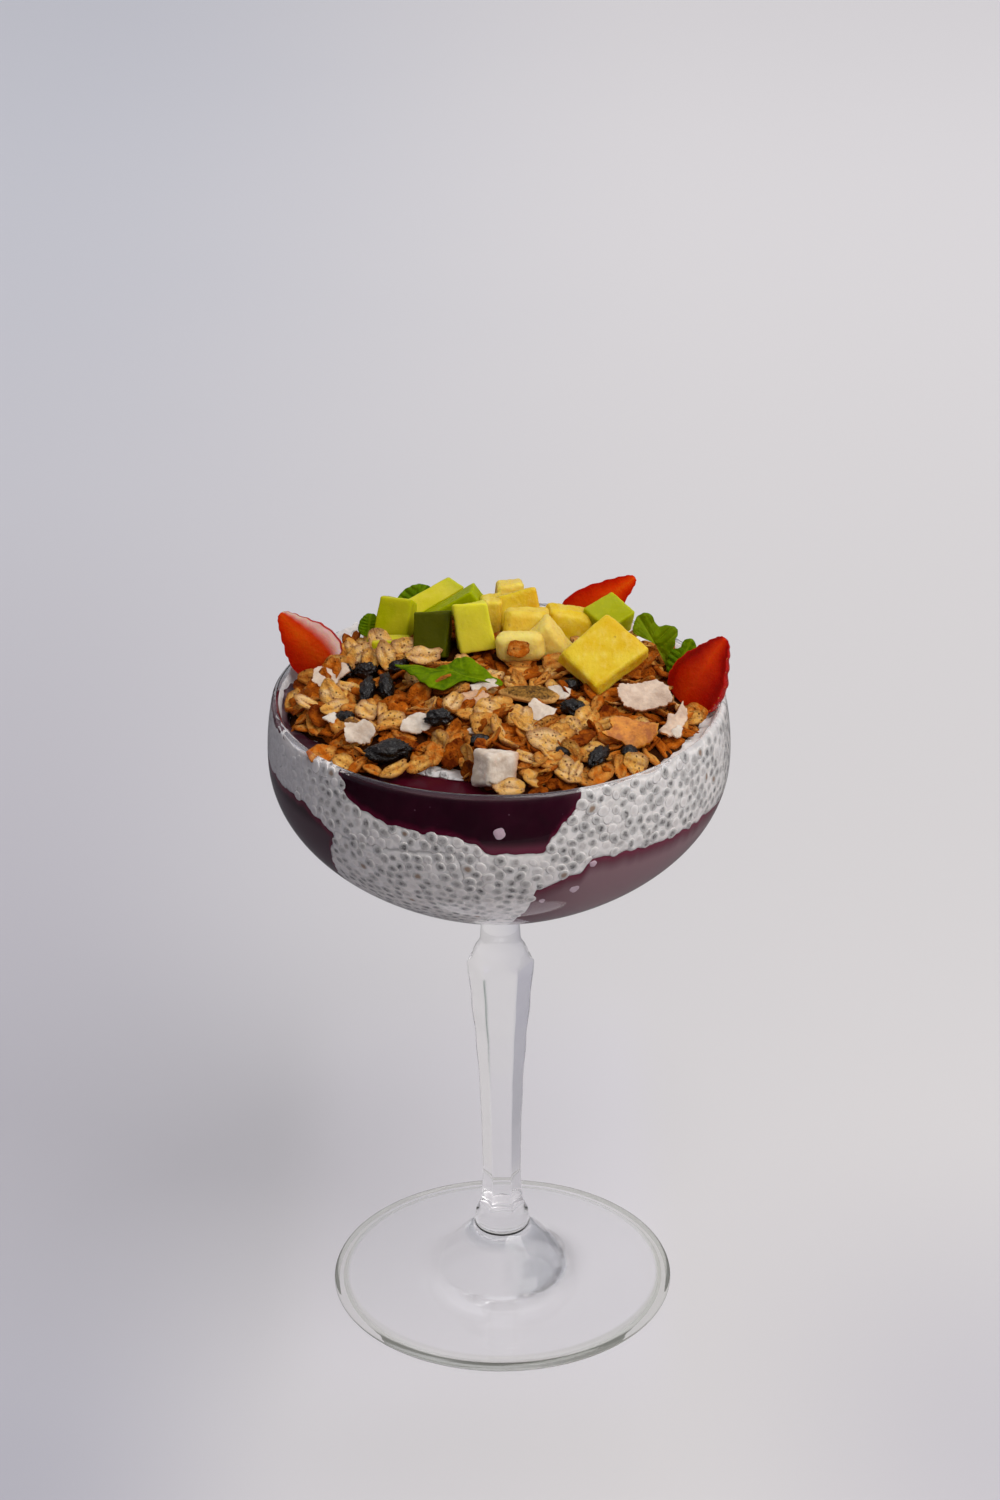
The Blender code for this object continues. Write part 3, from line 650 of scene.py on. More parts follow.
def makeLayer(name, under, over, look, node, slot, topRings=5, surface=False):
    # closed body between two surfaces, out to just inside the glass
    rows, angles, inside = filling["rows"], roundAngles(), filling["inside"]
    count = len(angles)
    depths, rings, seeded = [], [], []
    for i in range(rows + 1):
        share = 0.5 - 0.5 * math.cos(math.pi * (i / rows))
        ring, someDepths, someSeeded = layerRing(under, over, angles, share, surface)
        rings.append(ring)
        depths += someDepths
        seeded += someSeeded
    wall = rings[rows]
    for i in range(1, topRings + 1):
        share = 1 - i / (topRings + 1)
        if topRings > 10:
            share = 1 - (i / (topRings + 1)) ** 1.5
        ring = []
        for (edgeX, edgeY, edgeZ), angle in zip(wall, angles):
            x, y = polar(math.hypot(edgeX, edgeY) * share, angle)
            blend = min(1.0, (1 - share) * 40)
            ring.append((x, y, edgeZ + (over(x, y) - edgeZ) * blend))
        rings.append(ring)
    depths += [inside] * (count * topRings)
    seeded += [0.6] * (count * topRings)
    if under:
        first = rings[0]
        lowRings = (0.8, 0.5, 0.2)
        for share in lowRings:
            ring = []
            for (edgeX, edgeY, _), angle in zip(first, angles):
                x, y = polar(math.hypot(edgeX, edgeY) * share, angle)
                ring.append((x, y, min(under(x, y) - filling["overlap"], over(x, y) - 0.05)))
            rings.insert(0, ring)
        depths = [inside] * (count * len(lowRings)) + depths
        seeded = [0.0] * (count * len(lowRings)) + seeded
    low = sum(p[2] for p in rings[0]) / count
    high = sum(p[2] for p in rings[-1]) / count
    shape = lathe(rings, (0, 0, low - 0.01), (0, 0, high + 0.01))
    return addPiece(name, shape, look, slot, node,
                    {"edge": depths + [inside] * 2, "seeded": seeded + [0.0, 0.0]})


def makePuddingLook():
    material, paint = startLook("chia pudding")
    veil = paint.cloud(0.006, 3.0)
    net = paint.cells(0.0023, "DISTANCE_TO_EDGE", 0.9)
    across = paint.place().parts()[0]
    cream = veil.mix(tint(242, 235, 231), tint(253, 247, 243))
    soft = (net.step(0.02, 0.26) * 0.7).mix(cream, tint(220, 217, 213))
    # painted shade in the creases where two layers meet, over a real groove
    creaseShaded = paint.attribute("edge").step(0.0, 0.7).mix(tint(200, 196, 194), soft)
    shaded = (-1.0 * across).step(0.022, 0.044) * 0.55  # painted shade: it is darker at the left
    colour = shaded.mix(creaseShaded, tint(176, 174, 178))
    relief = (net.step(0.0, 0.35) * -1.0).bump(0.0002, 0.3)
    return finishLook(material, colour, veil * 0.2 + 0.25, relief, 0.25,
                      (0.35, 0.002, (1.0, 0.9, 0.8)))


def makeSauceLook():
    material, paint = startLook("berry sauce")
    mottle = paint.cloud(0.011, 3.0, 0.6)
    fromEdge = paint.attribute("edge")
    across, depth, height = paint.place().parts()
    thick = mottle.step(0.3, 0.8).mix(tint(34, 3, 16), tint(50, 8, 26))
    # the lower layer is thinner, most of all at the right, where it is also lighter and greyer
    # with a painted reflection
    atRight = fromEdge.step(1.0, 4.5) * across.step(0.0, 0.02)
    hazedReflection = atRight.mix(tint(106, 64, 74), tint(143, 112, 118))
    lower = (across + mottle * 0.02).step(-0.02, 0.015).mix(tint(72, 50, 58), hazedReflection)
    # and so is the tongue that hangs from the upper one
    tongue = height.fade(0.1372, 0.1400) * across.step(-0.02, -0.01)
    tongue = tongue.most(across.step(0.0125, 0.0185) * 0.45)
    deep = height.step(0.1335, 0.1365).mix(lower, tongue.mix(thick, tint(108, 48, 66)))
    dust = paint.dots(0.0023, 0.05, 0.11) * mottle.step(0.5, 0.6) * 0.35
    dusty = dust.mix(deep, tint(150, 116, 134))
    sides = (fromEdge.fade(0.0, 2.0) * 0.7).mix(dusty, tint(108, 20, 52))
    # painted light: level top faces a lighter red, except next to the glass
    wallward = (across * across + depth * depth).step(0.0438 ** 2, 0.0462 ** 2)
    above = paint.upward().step(0.5, 0.8) * height.step(0.1455, 0.1460) * (1.0 - wallward)
    return finishLook(material, above.mix(sides, tint(70, 10, 26)), mottle * 0.15 + 0.12,
                      paint.cloud(0.004, 3.0, 0.5).bump(0.0003, 0.15), 0.06,
                      (0.15, 0.0015, (1.0, 0.25, 0.4)))


def makeFilmLook():
    material, paint = startLook("berry film")
    mottle = paint.cloud(0.007, 3.0, 0.6)
    colour = mottle.ramp((0.3, tint(36, 4, 16)), (0.5, tint(58, 24, 34)),
                         (0.72, tint(122, 96, 100)))
    return finishLook(material, colour, mottle * 0.2 + 0.2,
                      paint.cloud(0.002, 3.0, 0.5).bump(0.0003, 0.2), 0.15,
                      (0.2, 0.0015, (1.0, 0.5, 0.7)))


def berryThere(x, y):  # how much of the upper berry layer shows on top at this place
    inner = filling["berryInner"] + ripple(x, y, 4.0, 1.2, 80.0)
    return min(1.0, max(0.0, (math.hypot(x, y) - inner) / 1.0))


def mainBottom(x, y):
    return max(baseTop(x, y), lowerBerryTop(x, y))


def mainTop(x, y):
    under = upperBerryBottom(x, y)
    underBerry = roughTop(x, y) if under > foodTop(x, y) else under
    share = berryThere(x, y)
    return share * underBerry + (1 - share) * roughTop(x, y)


def berryTop(x, y):
    share = berryThere(x, y)
    climb = wallClimb(math.hypot(x, y), planAngle(x, y))
    return foodTop(x, y) + 0.25 - 1.6 * (1 - share) + climb


def berryUnder(x, y):  # it thins out inwards
    inner = 0.9 * max(0.0, filling["berryInner"] - 2.0 - math.hypot(x, y))
    return upperBerryBottom(x, y) + inner


def makeFilling():
    pudding, sauce = makePuddingLook(), makeSauceLook()
    return [
        makeLayer("puddingBase", None, baseTop, pudding, "pudding_base", "pudding"),
        makeLayer("berryLower", baseTop, lowerBerryTop, sauce, "berry_layer_lower",
                  "berry_sauce"),
        makeLayer("puddingMain", mainBottom, mainTop, pudding, "pudding_main", "pudding", 60),
        makeLayer("berryUpper", berryUnder, berryTop, sauce, "berry_layer_upper",
                  "berry_sauce", 40, True),
    ]


layers = makeFilling()
print("layers made")


# What is strewn over a surface is made by one Geometry Nodes tree.
def strewTree():
    tree = bpy.data.node_groups.new("strewn", "GeometryNodeTree")
    face = tree.interface
    face.new_socket("Geometry", in_out="INPUT", socket_type="NodeSocketGeometry")
    sockets = [("Spacing", "Float"), ("Seed", "Int"), ("Kinds", "Collection"),
               ("Neighbours", "Object"), ("Clearance", "Float"), ("Lean", "Float"),
               ("Lift Low", "Float"), ("Lift High", "Float"), ("Size Low", "Float"),
               ("Size High", "Float"), ("Tone High", "Float"), ("Look", "Material")]
    for label, kind in sockets:
        face.new_socket(label, in_out="INPUT", socket_type="NodeSocket" + kind)
    face.new_socket("Geometry", in_out="OUTPUT", socket_type="NodeSocketGeometry")
    start = tree.nodes.new("NodeGroupInput")
    knobs = {socket.name: Paint(tree, socket) for socket in start.outputs if socket.name}
    paint = Paint(tree)

    def grow(kind, settings=None, inputs=None, output=0):
        return paint.node("GeometryNode" + kind, settings, inputs, output)

    def draw(low, high, seed, kind="FLOAT"):
        first = {"FLOAT_VECTOR": 0, "FLOAT": 2, "INT": 4}[kind]
        output = {"FLOAT_VECTOR": 0, "FLOAT": 1, "INT": 2}[kind]
        sockets = {first: low, first + 1: high, 8: knobs["Seed"] + seed}
        return paint.node("FunctionNodeRandomValue", {"data_type": kind}, sockets, output)

    where = grow("InputNamedAttribute", {"data_type": "FLOAT"}, {0: "seeded"})
    spots = grow("DistributePointsOnFaces", {"distribute_method": "POISSON"},
                 {"Mesh": knobs["Geometry"], "Distance Min": knobs["Spacing"],
                  "Density Max": 4e6, "Density Factor": where, "Seed": knobs["Seed"]})
    facing = Paint(tree, spots.socket.node.outputs["Rotation"])
    others = grow("ObjectInfo", None, {"Object": knobs["Neighbours"]}, "Geometry")
    near = grow("Proximity", {"target_element": "FACES"}, {0: others}, "Distance")
    tooNear = paint.node("FunctionNodeCompare", {"operation": "LESS_THAN"},
                         {0: near, 1: knobs["Clearance"]})
    clear = grow("DeleteGeometry", {"domain": "POINT"},
                 {"Geometry": spots, "Selection": tooNear})
    kinds = grow("CollectionInfo", None, {"Collection": knobs["Kinds"],
                                          "Separate Children": True})
    laid = grow("InstanceOnPoints", None,
                {"Points": clear, "Instance": kinds, "Pick Instance": True,
                 "Instance Index": draw(0, 100, 11, "INT"), "Rotation": facing,
                 "Scale": draw(knobs["Size Low"], knobs["Size High"], 12)})
    lean = knobs["Lean"]
    least = paint.node("CombineXYZ", None, {0: lean * -1.0, 1: lean * -1.0, 2: 0.0})
    most = paint.node("CombineXYZ", None, {0: lean, 1: lean, 2: math.tau})
    up = paint.node("CombineXYZ", None,
                    {2: draw(knobs["Lift Low"], knobs["Lift High"], 14)})
    # the lift is along the surface's own upright, so it comes before the spin
    lifted = grow("TranslateInstances", None,
                  {"Instances": laid, "Translation": up, "Local Space": True})
    spun = grow("RotateInstances", None,
                {"Instances": lifted, "Rotation": draw(least, most, 13, "FLOAT_VECTOR"),
                 "Local Space": True})
    toned = grow("StoreNamedAttribute", {"data_type": "FLOAT", "domain": "INSTANCE"},
                 {"Geometry": spun, "Name": "tone", "Value": draw(0.0, knobs["Tone High"], 15)})
    real = grow("RealizeInstances", None, {0: toned})
    finished = grow("SetMaterial", None, {"Geometry": real, "Material": knobs["Look"]})
    end = tree.nodes.new("NodeGroupOutput")
    tree.links.new(finished.socket, end.inputs[0])
    return tree


strewn = strewTree()


def strew(name, ground, kinds, look, neighbours=None, **values):
    # returns a plain mesh of everything that the tree lays on the ground object
    carrier = bpy.data.objects.new(name, ground.data.copy())
    bpy.context.scene.collection.objects.link(carrier)
    modifier = carrier.modifiers.new("strewn", "NODES")
    modifier.node_group = strewn
    values.update({"Kinds": kinds, "Look": look, "Neighbours": neighbours})
    for socket in strewn.interface.items_tree:
        if socket.in_out == "INPUT" and socket.name in values:
            modifier[socket.identifier] = values[socket.name]
    graph = bpy.context.evaluated_depsgraph_get()
    graph.update()
    mesh = bpy.data.meshes.new_from_object(carrier.evaluated_get(graph))
    bpy.data.objects.remove(carrier, do_unlink=True)
    return mesh


def kindsOf(name, shapes, look):
    kinds = bpy.data.collections.new(name)
    for i, (points, faces, values) in enumerate(shapes):
        kind = makePiece(f"{name}{i}", (points, faces), look, values)
        bpy.context.scene.collection.objects.unlink(kind)
        kinds.objects.link(kind)
    return kinds


def dropKinds(kinds):
    for kind in list(kinds.objects):
        bpy.data.objects.remove(kind, do_unlink=True)
    bpy.data.collections.remove(kinds)


def pieceFrom(name, meshes, look):
    # one piece from several meshes of the same finish
    work = bmesh.new()
    for mesh in meshes:
        work.from_mesh(mesh)
    joined = bpy.data.meshes.new(name)
    work.to_mesh(joined)
    work.free()
    joined.materials.clear()
    joined.materials.append(look)
    piece = bpy.data.objects.new(name, joined)
    bpy.context.scene.collection.objects.link(piece)
    return piece


# Swollen chia seeds, pressed against the glass
seeds = {"long": 1.5, "wide": 1.22, "dome": 0.15, "root": 0.5, "spacing": 2.08, "kinds": 5}


def seedShape(rng):
    around, shares = 10, (0.42, 0.76, 1.0)
    long = seeds["long"] * rng.uniform(0.85, 1.12)
    wide = seeds["wide"] * rng.uniform(0.85, 1.12)
    points, core = [(0, 0, seeds["dome"])], [0.0]
    for share in shares:
        for j in range(around):
            a = math.tau * j / around
            rise = seeds["dome"] * math.sqrt(max(0.0, 1 - share * share))
            points.append((long * share * math.cos(a), wide * share * math.sin(a), rise))
            core.append(share)
    points.append((0, 0, -seeds["root"]))
    return points, shellFaces(len(shares), around), {"core": core + [1.0]}


def makeSeedLook():
    material, paint = startLook("chia seed")
    tone = paint.attribute("tone")
    speck = paint.cloud(0.0007, 2.0, 0.7)
    across = paint.place().parts()[0]
    pale = tint(250, 243, 239)
    grain = (speck + tone * 0.3 - 0.15).step(0.3, 0.7)
    kernel = grain.mix(tint(82, 80, 80), tint(178, 174, 172))
    few = tone.step(0.978, 0.982).mix(kernel, tint(152, 128, 110))  # a few are brown
    shape = paint.attribute("core") + speck * 0.5 - 0.25
    gel = shape.step(0.22, 0.74).mix(few, tint(206, 203, 200))
    veiled = shape.step(0.72, 1.0).mix(gel, pale)
    # some lie deep in the pudding; at the far left all are veiled and greyed with painted shade,
    # like the pudding there
    atLeft = (paint.cloud(0.009, 2.0) * 0.012 - across).step(0.040, 0.050) * 0.7
    hidden = (tone.fade(0.02, 0.45) * 0.75).most(atLeft).mix(veiled, pale)
    colour = (atLeft * 0.75).mix(hidden, tint(176, 174, 178))
    return finishLook(material, colour, 0.3, None, 0.3, (0.25, 0.001, (1.0, 0.9, 0.8)))


def makeSeeds():
    rng = random.Random(3)
    look = makeSeedLook()
    kinds = kindsOf("seedKind", [seedShape(rng) for _ in range(seeds["kinds"])], look)
    values = {"Spacing": seeds["spacing"] * mm, "Lean": 0.05, "Lift Low": -0.1 * mm,
              "Lift High": 0.0, "Size Low": 0.8, "Size High": 1.15, "Tone High": 1.0}
    meshes = [strew("seeds", layer, kinds, look, Seed=4 + i, **values)
              for i, layer in enumerate(layers) if layer.name.startswith("pudding")]
    piece = pieceFrom("chiaSeeds", meshes, look)
    dropKinds(kinds)
    handOver(piece, slot="pudding")


makeSeeds()
print("seeds made")


# Pudding that shows through the sauce, flat against the glass: (angle, height, size)
blobs = {
    "places": [(-0.1, 141.6, 1.9), (23.3, 132.3, 1.1), (19.4, 126.1, 1.4),
               (11.2, 123.6, 1.0)],
    "rows": 5, "columns": 16,
    "uneven": 0.4, "proud": 0.12, "sunk": 0.55,
}


def blobShape(angle, z, size):
    rows, columns = blobs["rows"], blobs["columns"]
    points = []
    for i in range(rows + 1):
        share = i / rows
        for j in range(columns):
            a = math.tau * j / columns
            bumpy = noise.noise(Vector((math.cos(a), math.sin(a), angle)))
            swell = 1 + blobs["uneven"] * bumpy
            across = size * share * swell * math.cos(a)
            high = z + size * share * swell * math.sin(a)
            radius = bowlRadius(high, cup["wall"] - filling["intoGlass"])
            radius = radius + (blobs["proud"] - blobs["sunk"] * share ** 4)
            points.append((*polar(radius, angle + math.degrees(across / radius)), high))
    faces = tubeFaces(rows + 1, columns)
    faces.append(tuple(range(columns)))
    faces.append(tuple(reversed(range(rows * columns, (rows + 1) * columns))))
    return points, faces, {}


def makeBlobs():
    points, faces, _ = joinShapes([blobShape(*place) for place in blobs["places"]])
    material, paint = startLook("pudding in the sauce")
    colour = paint.cloud(0.002, 2.0).mix(tint(178, 140, 158), tint(226, 208, 216))
    look = finishLook(material, colour, 0.3, None, 0.25)
    addPiece("puddingBlobs", (points, faces), look, "pudding")


makeBlobs()


# Berry sauce on the pudding at the left, beside the heap
smear = {"from": -105, "over": 41.0, "high": 147.0, "rows": 36, "columns": 22,
         "thick": 0.9, "climb": 2.0, "climbFrom": 0.75, "under": 1.0}


def makeSmear():
    rows, columns = smear["rows"], smear["columns"]
    upper, lower = [], []
    wall = bowlRadius(smear["high"], cup["wall"]) + 0.1
    for i in range(rows + 1):
        angle = smear["from"] + smear["over"] * i / rows
        ends = math.sin(math.pi * i / rows) ** 0.35
        near = heapReach(angle) - 0.3 + ripple(angle * 0.4, 0, 1.6, 0.6, 90.0)
        for j in range(columns + 1):
            t = j / columns
            x, y = polar(near + (wall - near) * t, angle)
            outward = max(0.0, t - smear["climbFrom"]) / (1 - smear["climbFrom"])
            climb = smear["climb"] * outward * ends
            swell = min(1.0, 6 * t) * ends
            lump = ripple(x, y, 3.0, 0.25, 95.0)
            thick = (smear["thick"] + lump) * swell + climb * 0.9
            upper.append((x, y, foodTop(x, y) + 0.2 + thick))
            lower.append((x, y, foodTop(x, y) - smear["under"]))
    shape = sheetBetween(upper, lower, rows + 1, columns + 1)
    addPiece("berrySmear", shape, makeFilmLook(), "berry_sauce", "berry_smear")


def sheetBetween(upper, lower, rows, columns):
    # closed body between two grids of points
    count = rows * columns
    faces = []
    for i in range(rows - 1):
        for j in range(columns - 1):
            a, b = i * columns + j, (i + 1) * columns + j
            quad = (a, b, b + 1, a + 1)
            faces.append(quad)
            faces.append(tuple(count + v for v in reversed(quad)))
    rim = [i * columns for i in range(rows)]
    rim += [(rows - 1) * columns + j for j in range(1, columns)]
    rim += [i * columns + columns - 1 for i in range(rows - 2, -1, -1)]
    rim += [j for j in range(columns - 2, 0, -1)]
    for a, b in zip(rim, rim[1:] + rim[:1]):
        faces.append((a, count + a, count + b, b))
    return upper + lower, faces


# The granola heap
heap = {
    "edgeRise": 1.1, "crown": 4.6, "backCrown": 4.0, "below": 0.35,
    "rows": 40, "columns": 140, "under": 1.2, "edgeDrop": 1.2,
    "reach": [(-180, 39), (-130, 41), (-100, 43.0), (-88, 45.4), (-79, 45.8), (-71, 43.0),
              (-64, 40.0), (-56, 41.5), (-44, 44.5), (-36, 41.5), (-30, 32.6), (-20, 30.8),
              (-12, 31.4), (-5, 41), (6, 43.4), (30, 44.6), (60, 44.6), (95, 43.5),
              (140, 40)],
}


def heapReach(angle):
    return curveRound(heap["reach"], angle)


def heapTop(x, y):
    share = math.hypot(x, y) / heapReach(planAngle(x, y))
    inner = max(0.0, 1.0 - share * share)
    back = math.exp(-((x - 2) / 24.0) ** 2 - ((y - 20) / 14.0) ** 2)
    rise = heap["crown"] * inner ** 0.75 + heap["backCrown"] * back * min(1, inner * 2)
    lumps = ripple(x, y, 5.5, 0.55, 9.0) * min(1, inner * 3)
    return foodTop(x, y) + 0.3 + heap["edgeRise"] + rise + lumps


def makeOatLook(name, dark, golden, cream):
    material, paint = startLook(name)
    patches = paint.cloud(0.0024, 3.0, 0.65)
    fine = paint.cloud(0.0006, 3.0, 0.7)
    share = paint.attribute("tone") * 0.7 + patches * 1.1 - 0.38
    base = share.clamped().ramp((0.08, dark), (0.40, golden), (0.72, cream),
                                (0.95, tint(249, 208, 148)))
    # browner along the edges, as toasting leaves them, and darker along the groove with painted
    # crease shade
    edge = paint.attribute("edge").step(0.5, 1.0) * patches.step(0.3, 0.6)
    toastAndCreaseShade = edge.most(paint.attribute("groove") * fine.step(0.3, 0.6)) * 0.75
    browned = toastAndCreaseShade.mix(base, tint(132, 58, 14))
    dots = paint.dots(0.0011, 0.12, 0.28) * patches.step(0.4, 0.5) * 0.9
    return finishLook(material, dots.mix(browned, tint(84, 34, 10)), fine * 0.25 + 0.42,
                      (fine + patches * 0.6).bump(0.0006, 0.9), 0.03,
                      (0.12, 0.001, (1.0, 0.5, 0.06)))


oatLook = makeOatLook("toasted oats", tint(96, 32, 2), tint(206, 108, 22),
                      tint(242, 184, 92))
# painted shade: the heap's core is very dark, standing in for the shade in the gaps between the
# flakes
crumbShadeLook = makeOatLook("granola crumbs", tint(30, 12, 2), tint(58, 26, 6),
                        tint(98, 54, 18))


def makeHeap():
    rows, columns = heap["rows"], heap["columns"]
    angles = [360.0 * j / columns - 180 for j in range(columns)]
    rings, seeded = [], []
    for share in (0.3, 0.7, 1.0):
        ring = []
        for angle in angles:
            x, y = polar(heapReach(angle) * share, angle)
            ring.append((x, y, foodTop(x, y) - heap["under"]))
        rings.append(ring)
        seeded += [0.0] * columns
    for i in range(rows + 1):
        share = 1.0 - (i / (rows + 1))
        ring = []
        for angle in angles:
            x, y = polar(heapReach(angle) * share, angle)
            crumbs = ripple(x, y, 1.3, 0.5, 100.0) + ripple(x, y, 2.7, 0.5, 110.0)
            drop = heap["edgeDrop"] * max(0.0, share - 0.93) / 0.07
            ring.append((x, y, heapTop(x, y) - heap["below"] + crumbs - drop))
        rings.append(ring)
        seeded += [1.0 if share < 0.995 else 0.4] * columns
    shape = lathe(rings, (0, 0, foodTop(0, 0) - heap["under"]), (0, 0, heapTop(0, 0)))
    count = len(shape[0])
    return addPiece("granolaCore", shape, crumbShadeLook, "oats", "granola",
                    {"seeded": seeded + [0.0, 1.0], "edge": [0.3] * count,
                     "tone": [0.3] * count, "groove": [0.0] * count})


heapPiece = makeHeap()
makeSmear()
print("heap made")


# Pieces of fruit and other toppings stand where their CAD nodes stand.
# Cut fruit: (length, depth, height), seed, (yaw, tilt, roll), rounding, roughness,
# shift from the node, and how green it is, how dark with painted shade and how pale with painted
# light
fruit = {
    "pineapple_low": ((10.4, 5.6, 6.4), 6, (3, -10, -3), 2.2, 0.24, (0, 0, 0), (0, 0, 0.6)),
    "pineapple_side": ((6.6, 6.2, 10.6), 8, (-6, -10, -36), 1.2, 0.22, (-0.9, 6.2, -1.2),
                       (0, 0, 0.5)),
    "melon_low_left": ((9.6, 5.4, 5.6), 3, (6, -12, 4), 0.5, 0.08, (0, 0, -1.8), (0, 0, 0)),
    "melon_shaded": ((7.1, 6.8, 9.4), 4, (-6, -25, 3), 0.5, 0.08, (0, 0.4, -1.2), (0, 0.95, 0)),
    "melon_front": ((8.0, 5.8, 11.0), 5, (4, -14, -13), 0.5, 0.08, (0.4, 0, 0),
                    (0, 0, 0.7)),
    "pineapple_slab": ((15.4, 13.0, 3.8), 7, (41, 27, 2), 0.8, 0.16, (-1.4, 0, 1.7),
                       (0, 0, 0)),
    "pineapple_high": ((10.2, 5.2, 8.2), 9, (4, -10, 3), 1.5, 0.24, (-0.6, 0, -0.4),
                       (0, 0, 0.15)),
    "pineapple_mid": ((4.4, 5.2, 8.8), 13, (4, -6, 2), 0.8, 0.2, (1.0, 0, -1.2), (0, 0, 0.1)),
    "melon_left": ((7.8, 6.4, 8.8), 11, (-16, -16, 11), 0.5, 0.08, (0, 0, 0), (0.45, 0.04, 0)),
    "melon_back": ((11.7, 4.4, 5.0), 12, (35, 30, 0), 0.5, 0.08, (-3.4, 1.5, -0.8),
                   (0, 0, 0)),
    "pineapple_tall": ((8.8, 5.6, 10.2), 16, (5, -14, -13), 0.9, 0.2, (-0.6, 0, -3.2),
                       (0, 0, 0)),
    "pineapple_round": ((9.6, 6.6, 8.8), 10, (14, -4, 12), 1.8, 0.24, (-0.4, 0, -2.2),
                        (0, 0, 0)),
    "melon_right": ((8.6, 8.0, 6.0), 14, (44, 24, 4), 0.5, 0.08, (-1.4, 0, 0.2), (0.75, 0, 0)),
    "pineapple_back": ((6.2, 5.4, 9.0), 15, (12, -6, 6), 0.9, 0.2, (-0.8, 0, 0), (0, 0, 0.3)),
}
# the green end that lies on the block at the back, thinner towards the left
wedge = ((13.6, 5.4, 5.0), 21, (4, -6, -24), 0.4, 0.08, (0.4, -5.0, 1.4))
fruitSteps = 22


def blockShape(size, seed, rounding, rough):
    # knife-cut block with uneven corners, closely divided near its edges
    rng = random.Random(seed)
    corners = {}
    for key in [(a, b, c) for a in (-1, 1) for b in (-1, 1) for c in (-1, 1)]:
        corners[key] = [rng.uniform(-0.09, 0.09) * side for side in size]
    stops = [math.sin(math.pi * (i / fruitSteps - 0.5)) for i in range(fruitSteps + 1)]
    work = bmesh.new()
    made = {}

    def vertAt(u, v, w):
        key = (round(u, 5), round(v, 5), round(w, 5))
        if key not in made:
            full = Vector([side / 2 * c for side, c in zip(size, (u, v, w))])
            core = Vector([max(-side / 2 + rounding, min(side / 2 - rounding, c))
                           for side, c in zip(size, full)])
            spot = core + (full - core).normalized() * rounding
            for (a, b, c), shift in corners.items():
                share = (1 + a * u) * (1 + b * v) * (1 + c * w) / 8
                spot += Vector(shift) * share
            lift = 0.22 * noise.noise(spot / 4.0 + Vector((seed, 0, 0)))
            lift += rough * noise.noise(spot / 1.1 + Vector((0, seed, 0)))
            spot += full.normalized() * lift
            made[key] = work.verts.new(spot)
        return made[key]

    for axis in range(3):
        for end in (-1, 1):
            for i in range(fruitSteps):
                for j in range(fruitSteps):
                    quad = []
                    for a, b in ((i, j), (i + 1, j), (i + 1, j + 1), (i, j + 1)):
                        spot = [stops[a], stops[b]]
                        spot.insert(axis, end)
                        quad.append(vertAt(*spot))
                    work.faces.new(quad)
    work.verts.index_update()
    points = [tuple(v.co) for v in work.verts]
    faces = [tuple(v.index for v in face.verts) for face in work.faces]
    work.free()
    return points, faces


def makeMelonLook():
    material, paint = startLook("melon flesh")
    soft = paint.cloud(0.006, 2.0)
    fine = paint.cloud(0.0012, 3.0, 0.6)
    patches = soft.step(0.3, 0.7)
    side = patches.mix(tint(196, 196, 8), tint(220, 204, 44))
    top = patches.mix(tint(206, 194, 40), tint(220, 206, 76))
    # painted light: level tops paler than the sides
    litTop = paint.upward().step(0.35, 0.8).mix(side, top)
    green = paint.attribute("rind").mix(litTop, tint(149, 160, 0))
    # painted light: the pieces that catch more light are paler
    pale = paint.attribute("pale").mix(green, tint(250, 236, 76))
    veined = (fine.step(0.5, 0.8) * 0.3).mix(pale, tint(216, 206, 40))
    # painted shade: the piece lying in shade is darker
    colour = paint.attribute("deep").mix(veined, tint(58, 62, 2))
    return finishLook(material, colour, fine * 0.3 + 0.16, (fine + soft).bump(0.0004, 0.35),
                      0.02, (0.6, 0.004, (0.9, 1.0, 0.06)), (0.04, 0.15))


def makePineappleLook():
    material, paint = startLook("pineapple flesh")
    soft = paint.cloud(0.005, 2.0)
    fibre = paint.cloud(0.0016, 3.0, 0.6, (1.0, 0.35, 1.0))
    fine = paint.cloud(0.0007, 2.0, 0.6)
    base = soft.step(0.3, 0.72).mix(tint(226, 184, 10), tint(236, 206, 62))
    # painted light: the pieces that catch more light are paler
    pale = paint.attribute("pale").mix(base, tint(255, 234, 148))
    core = (paint.attribute("rind") * soft.step(0.25, 0.6) * 0.7).mix(pale, tint(230, 152, 4))
    strands = (fibre.step(0.45, 0.75) * 0.28).mix(core, tint(250, 230, 136))
    marks = paint.dots(0.0046, 0.05, 0.09) * fine.step(0.4, 0.6) * 0.5
    return finishLook(material, marks.mix(strands, tint(164, 116, 36)), fine * 0.3 + 0.16,
                      (fibre + fine * 0.4).bump(0.0006, 0.5), 0.12,
                      (0.55, 0.004, (1.0, 0.85, 0.15)), (0.04, 0.15))


def makeFruit():
    looks = {"melon": makeMelonLook(), "pineapple": makePineappleLook()}
    for node, (size, seed, turns, rounding, rough, shift, tones) in fruit.items():
        green, deep, pale = tones
        points, faces = blockShape(size, seed, rounding, rough)
        rind = [max(green, 2 * p[0] / size[0] - 0.4) for p in points]
        points = settleAt(points, turns, node, shift)
        if node == "melon_back":
            size, seed, turns, rounding, rough, shift = wedge
            more, moreFaces = blockShape(size, seed, rounding, rough)
            thinner = [(x, y, z * (0.6 + 0.8 * x / size[0])) for x, y, z in more]
            more = settleAt(thinner, turns, node, shift)
            points, faces, values = joinShapes([
                (points, faces, {"rind": rind}),
                (more, moreFaces, {"rind": [1.0] * len(more)})])
            rind = values["rind"]
        count = len(points)
        kind = node.split("_")[0]
        addPiece(nameOf(node) + "Piece", (points, faces), looks[kind], kind, node,
                 {"deep": [deep] * count, "rind": rind, "pale": [pale] * count})


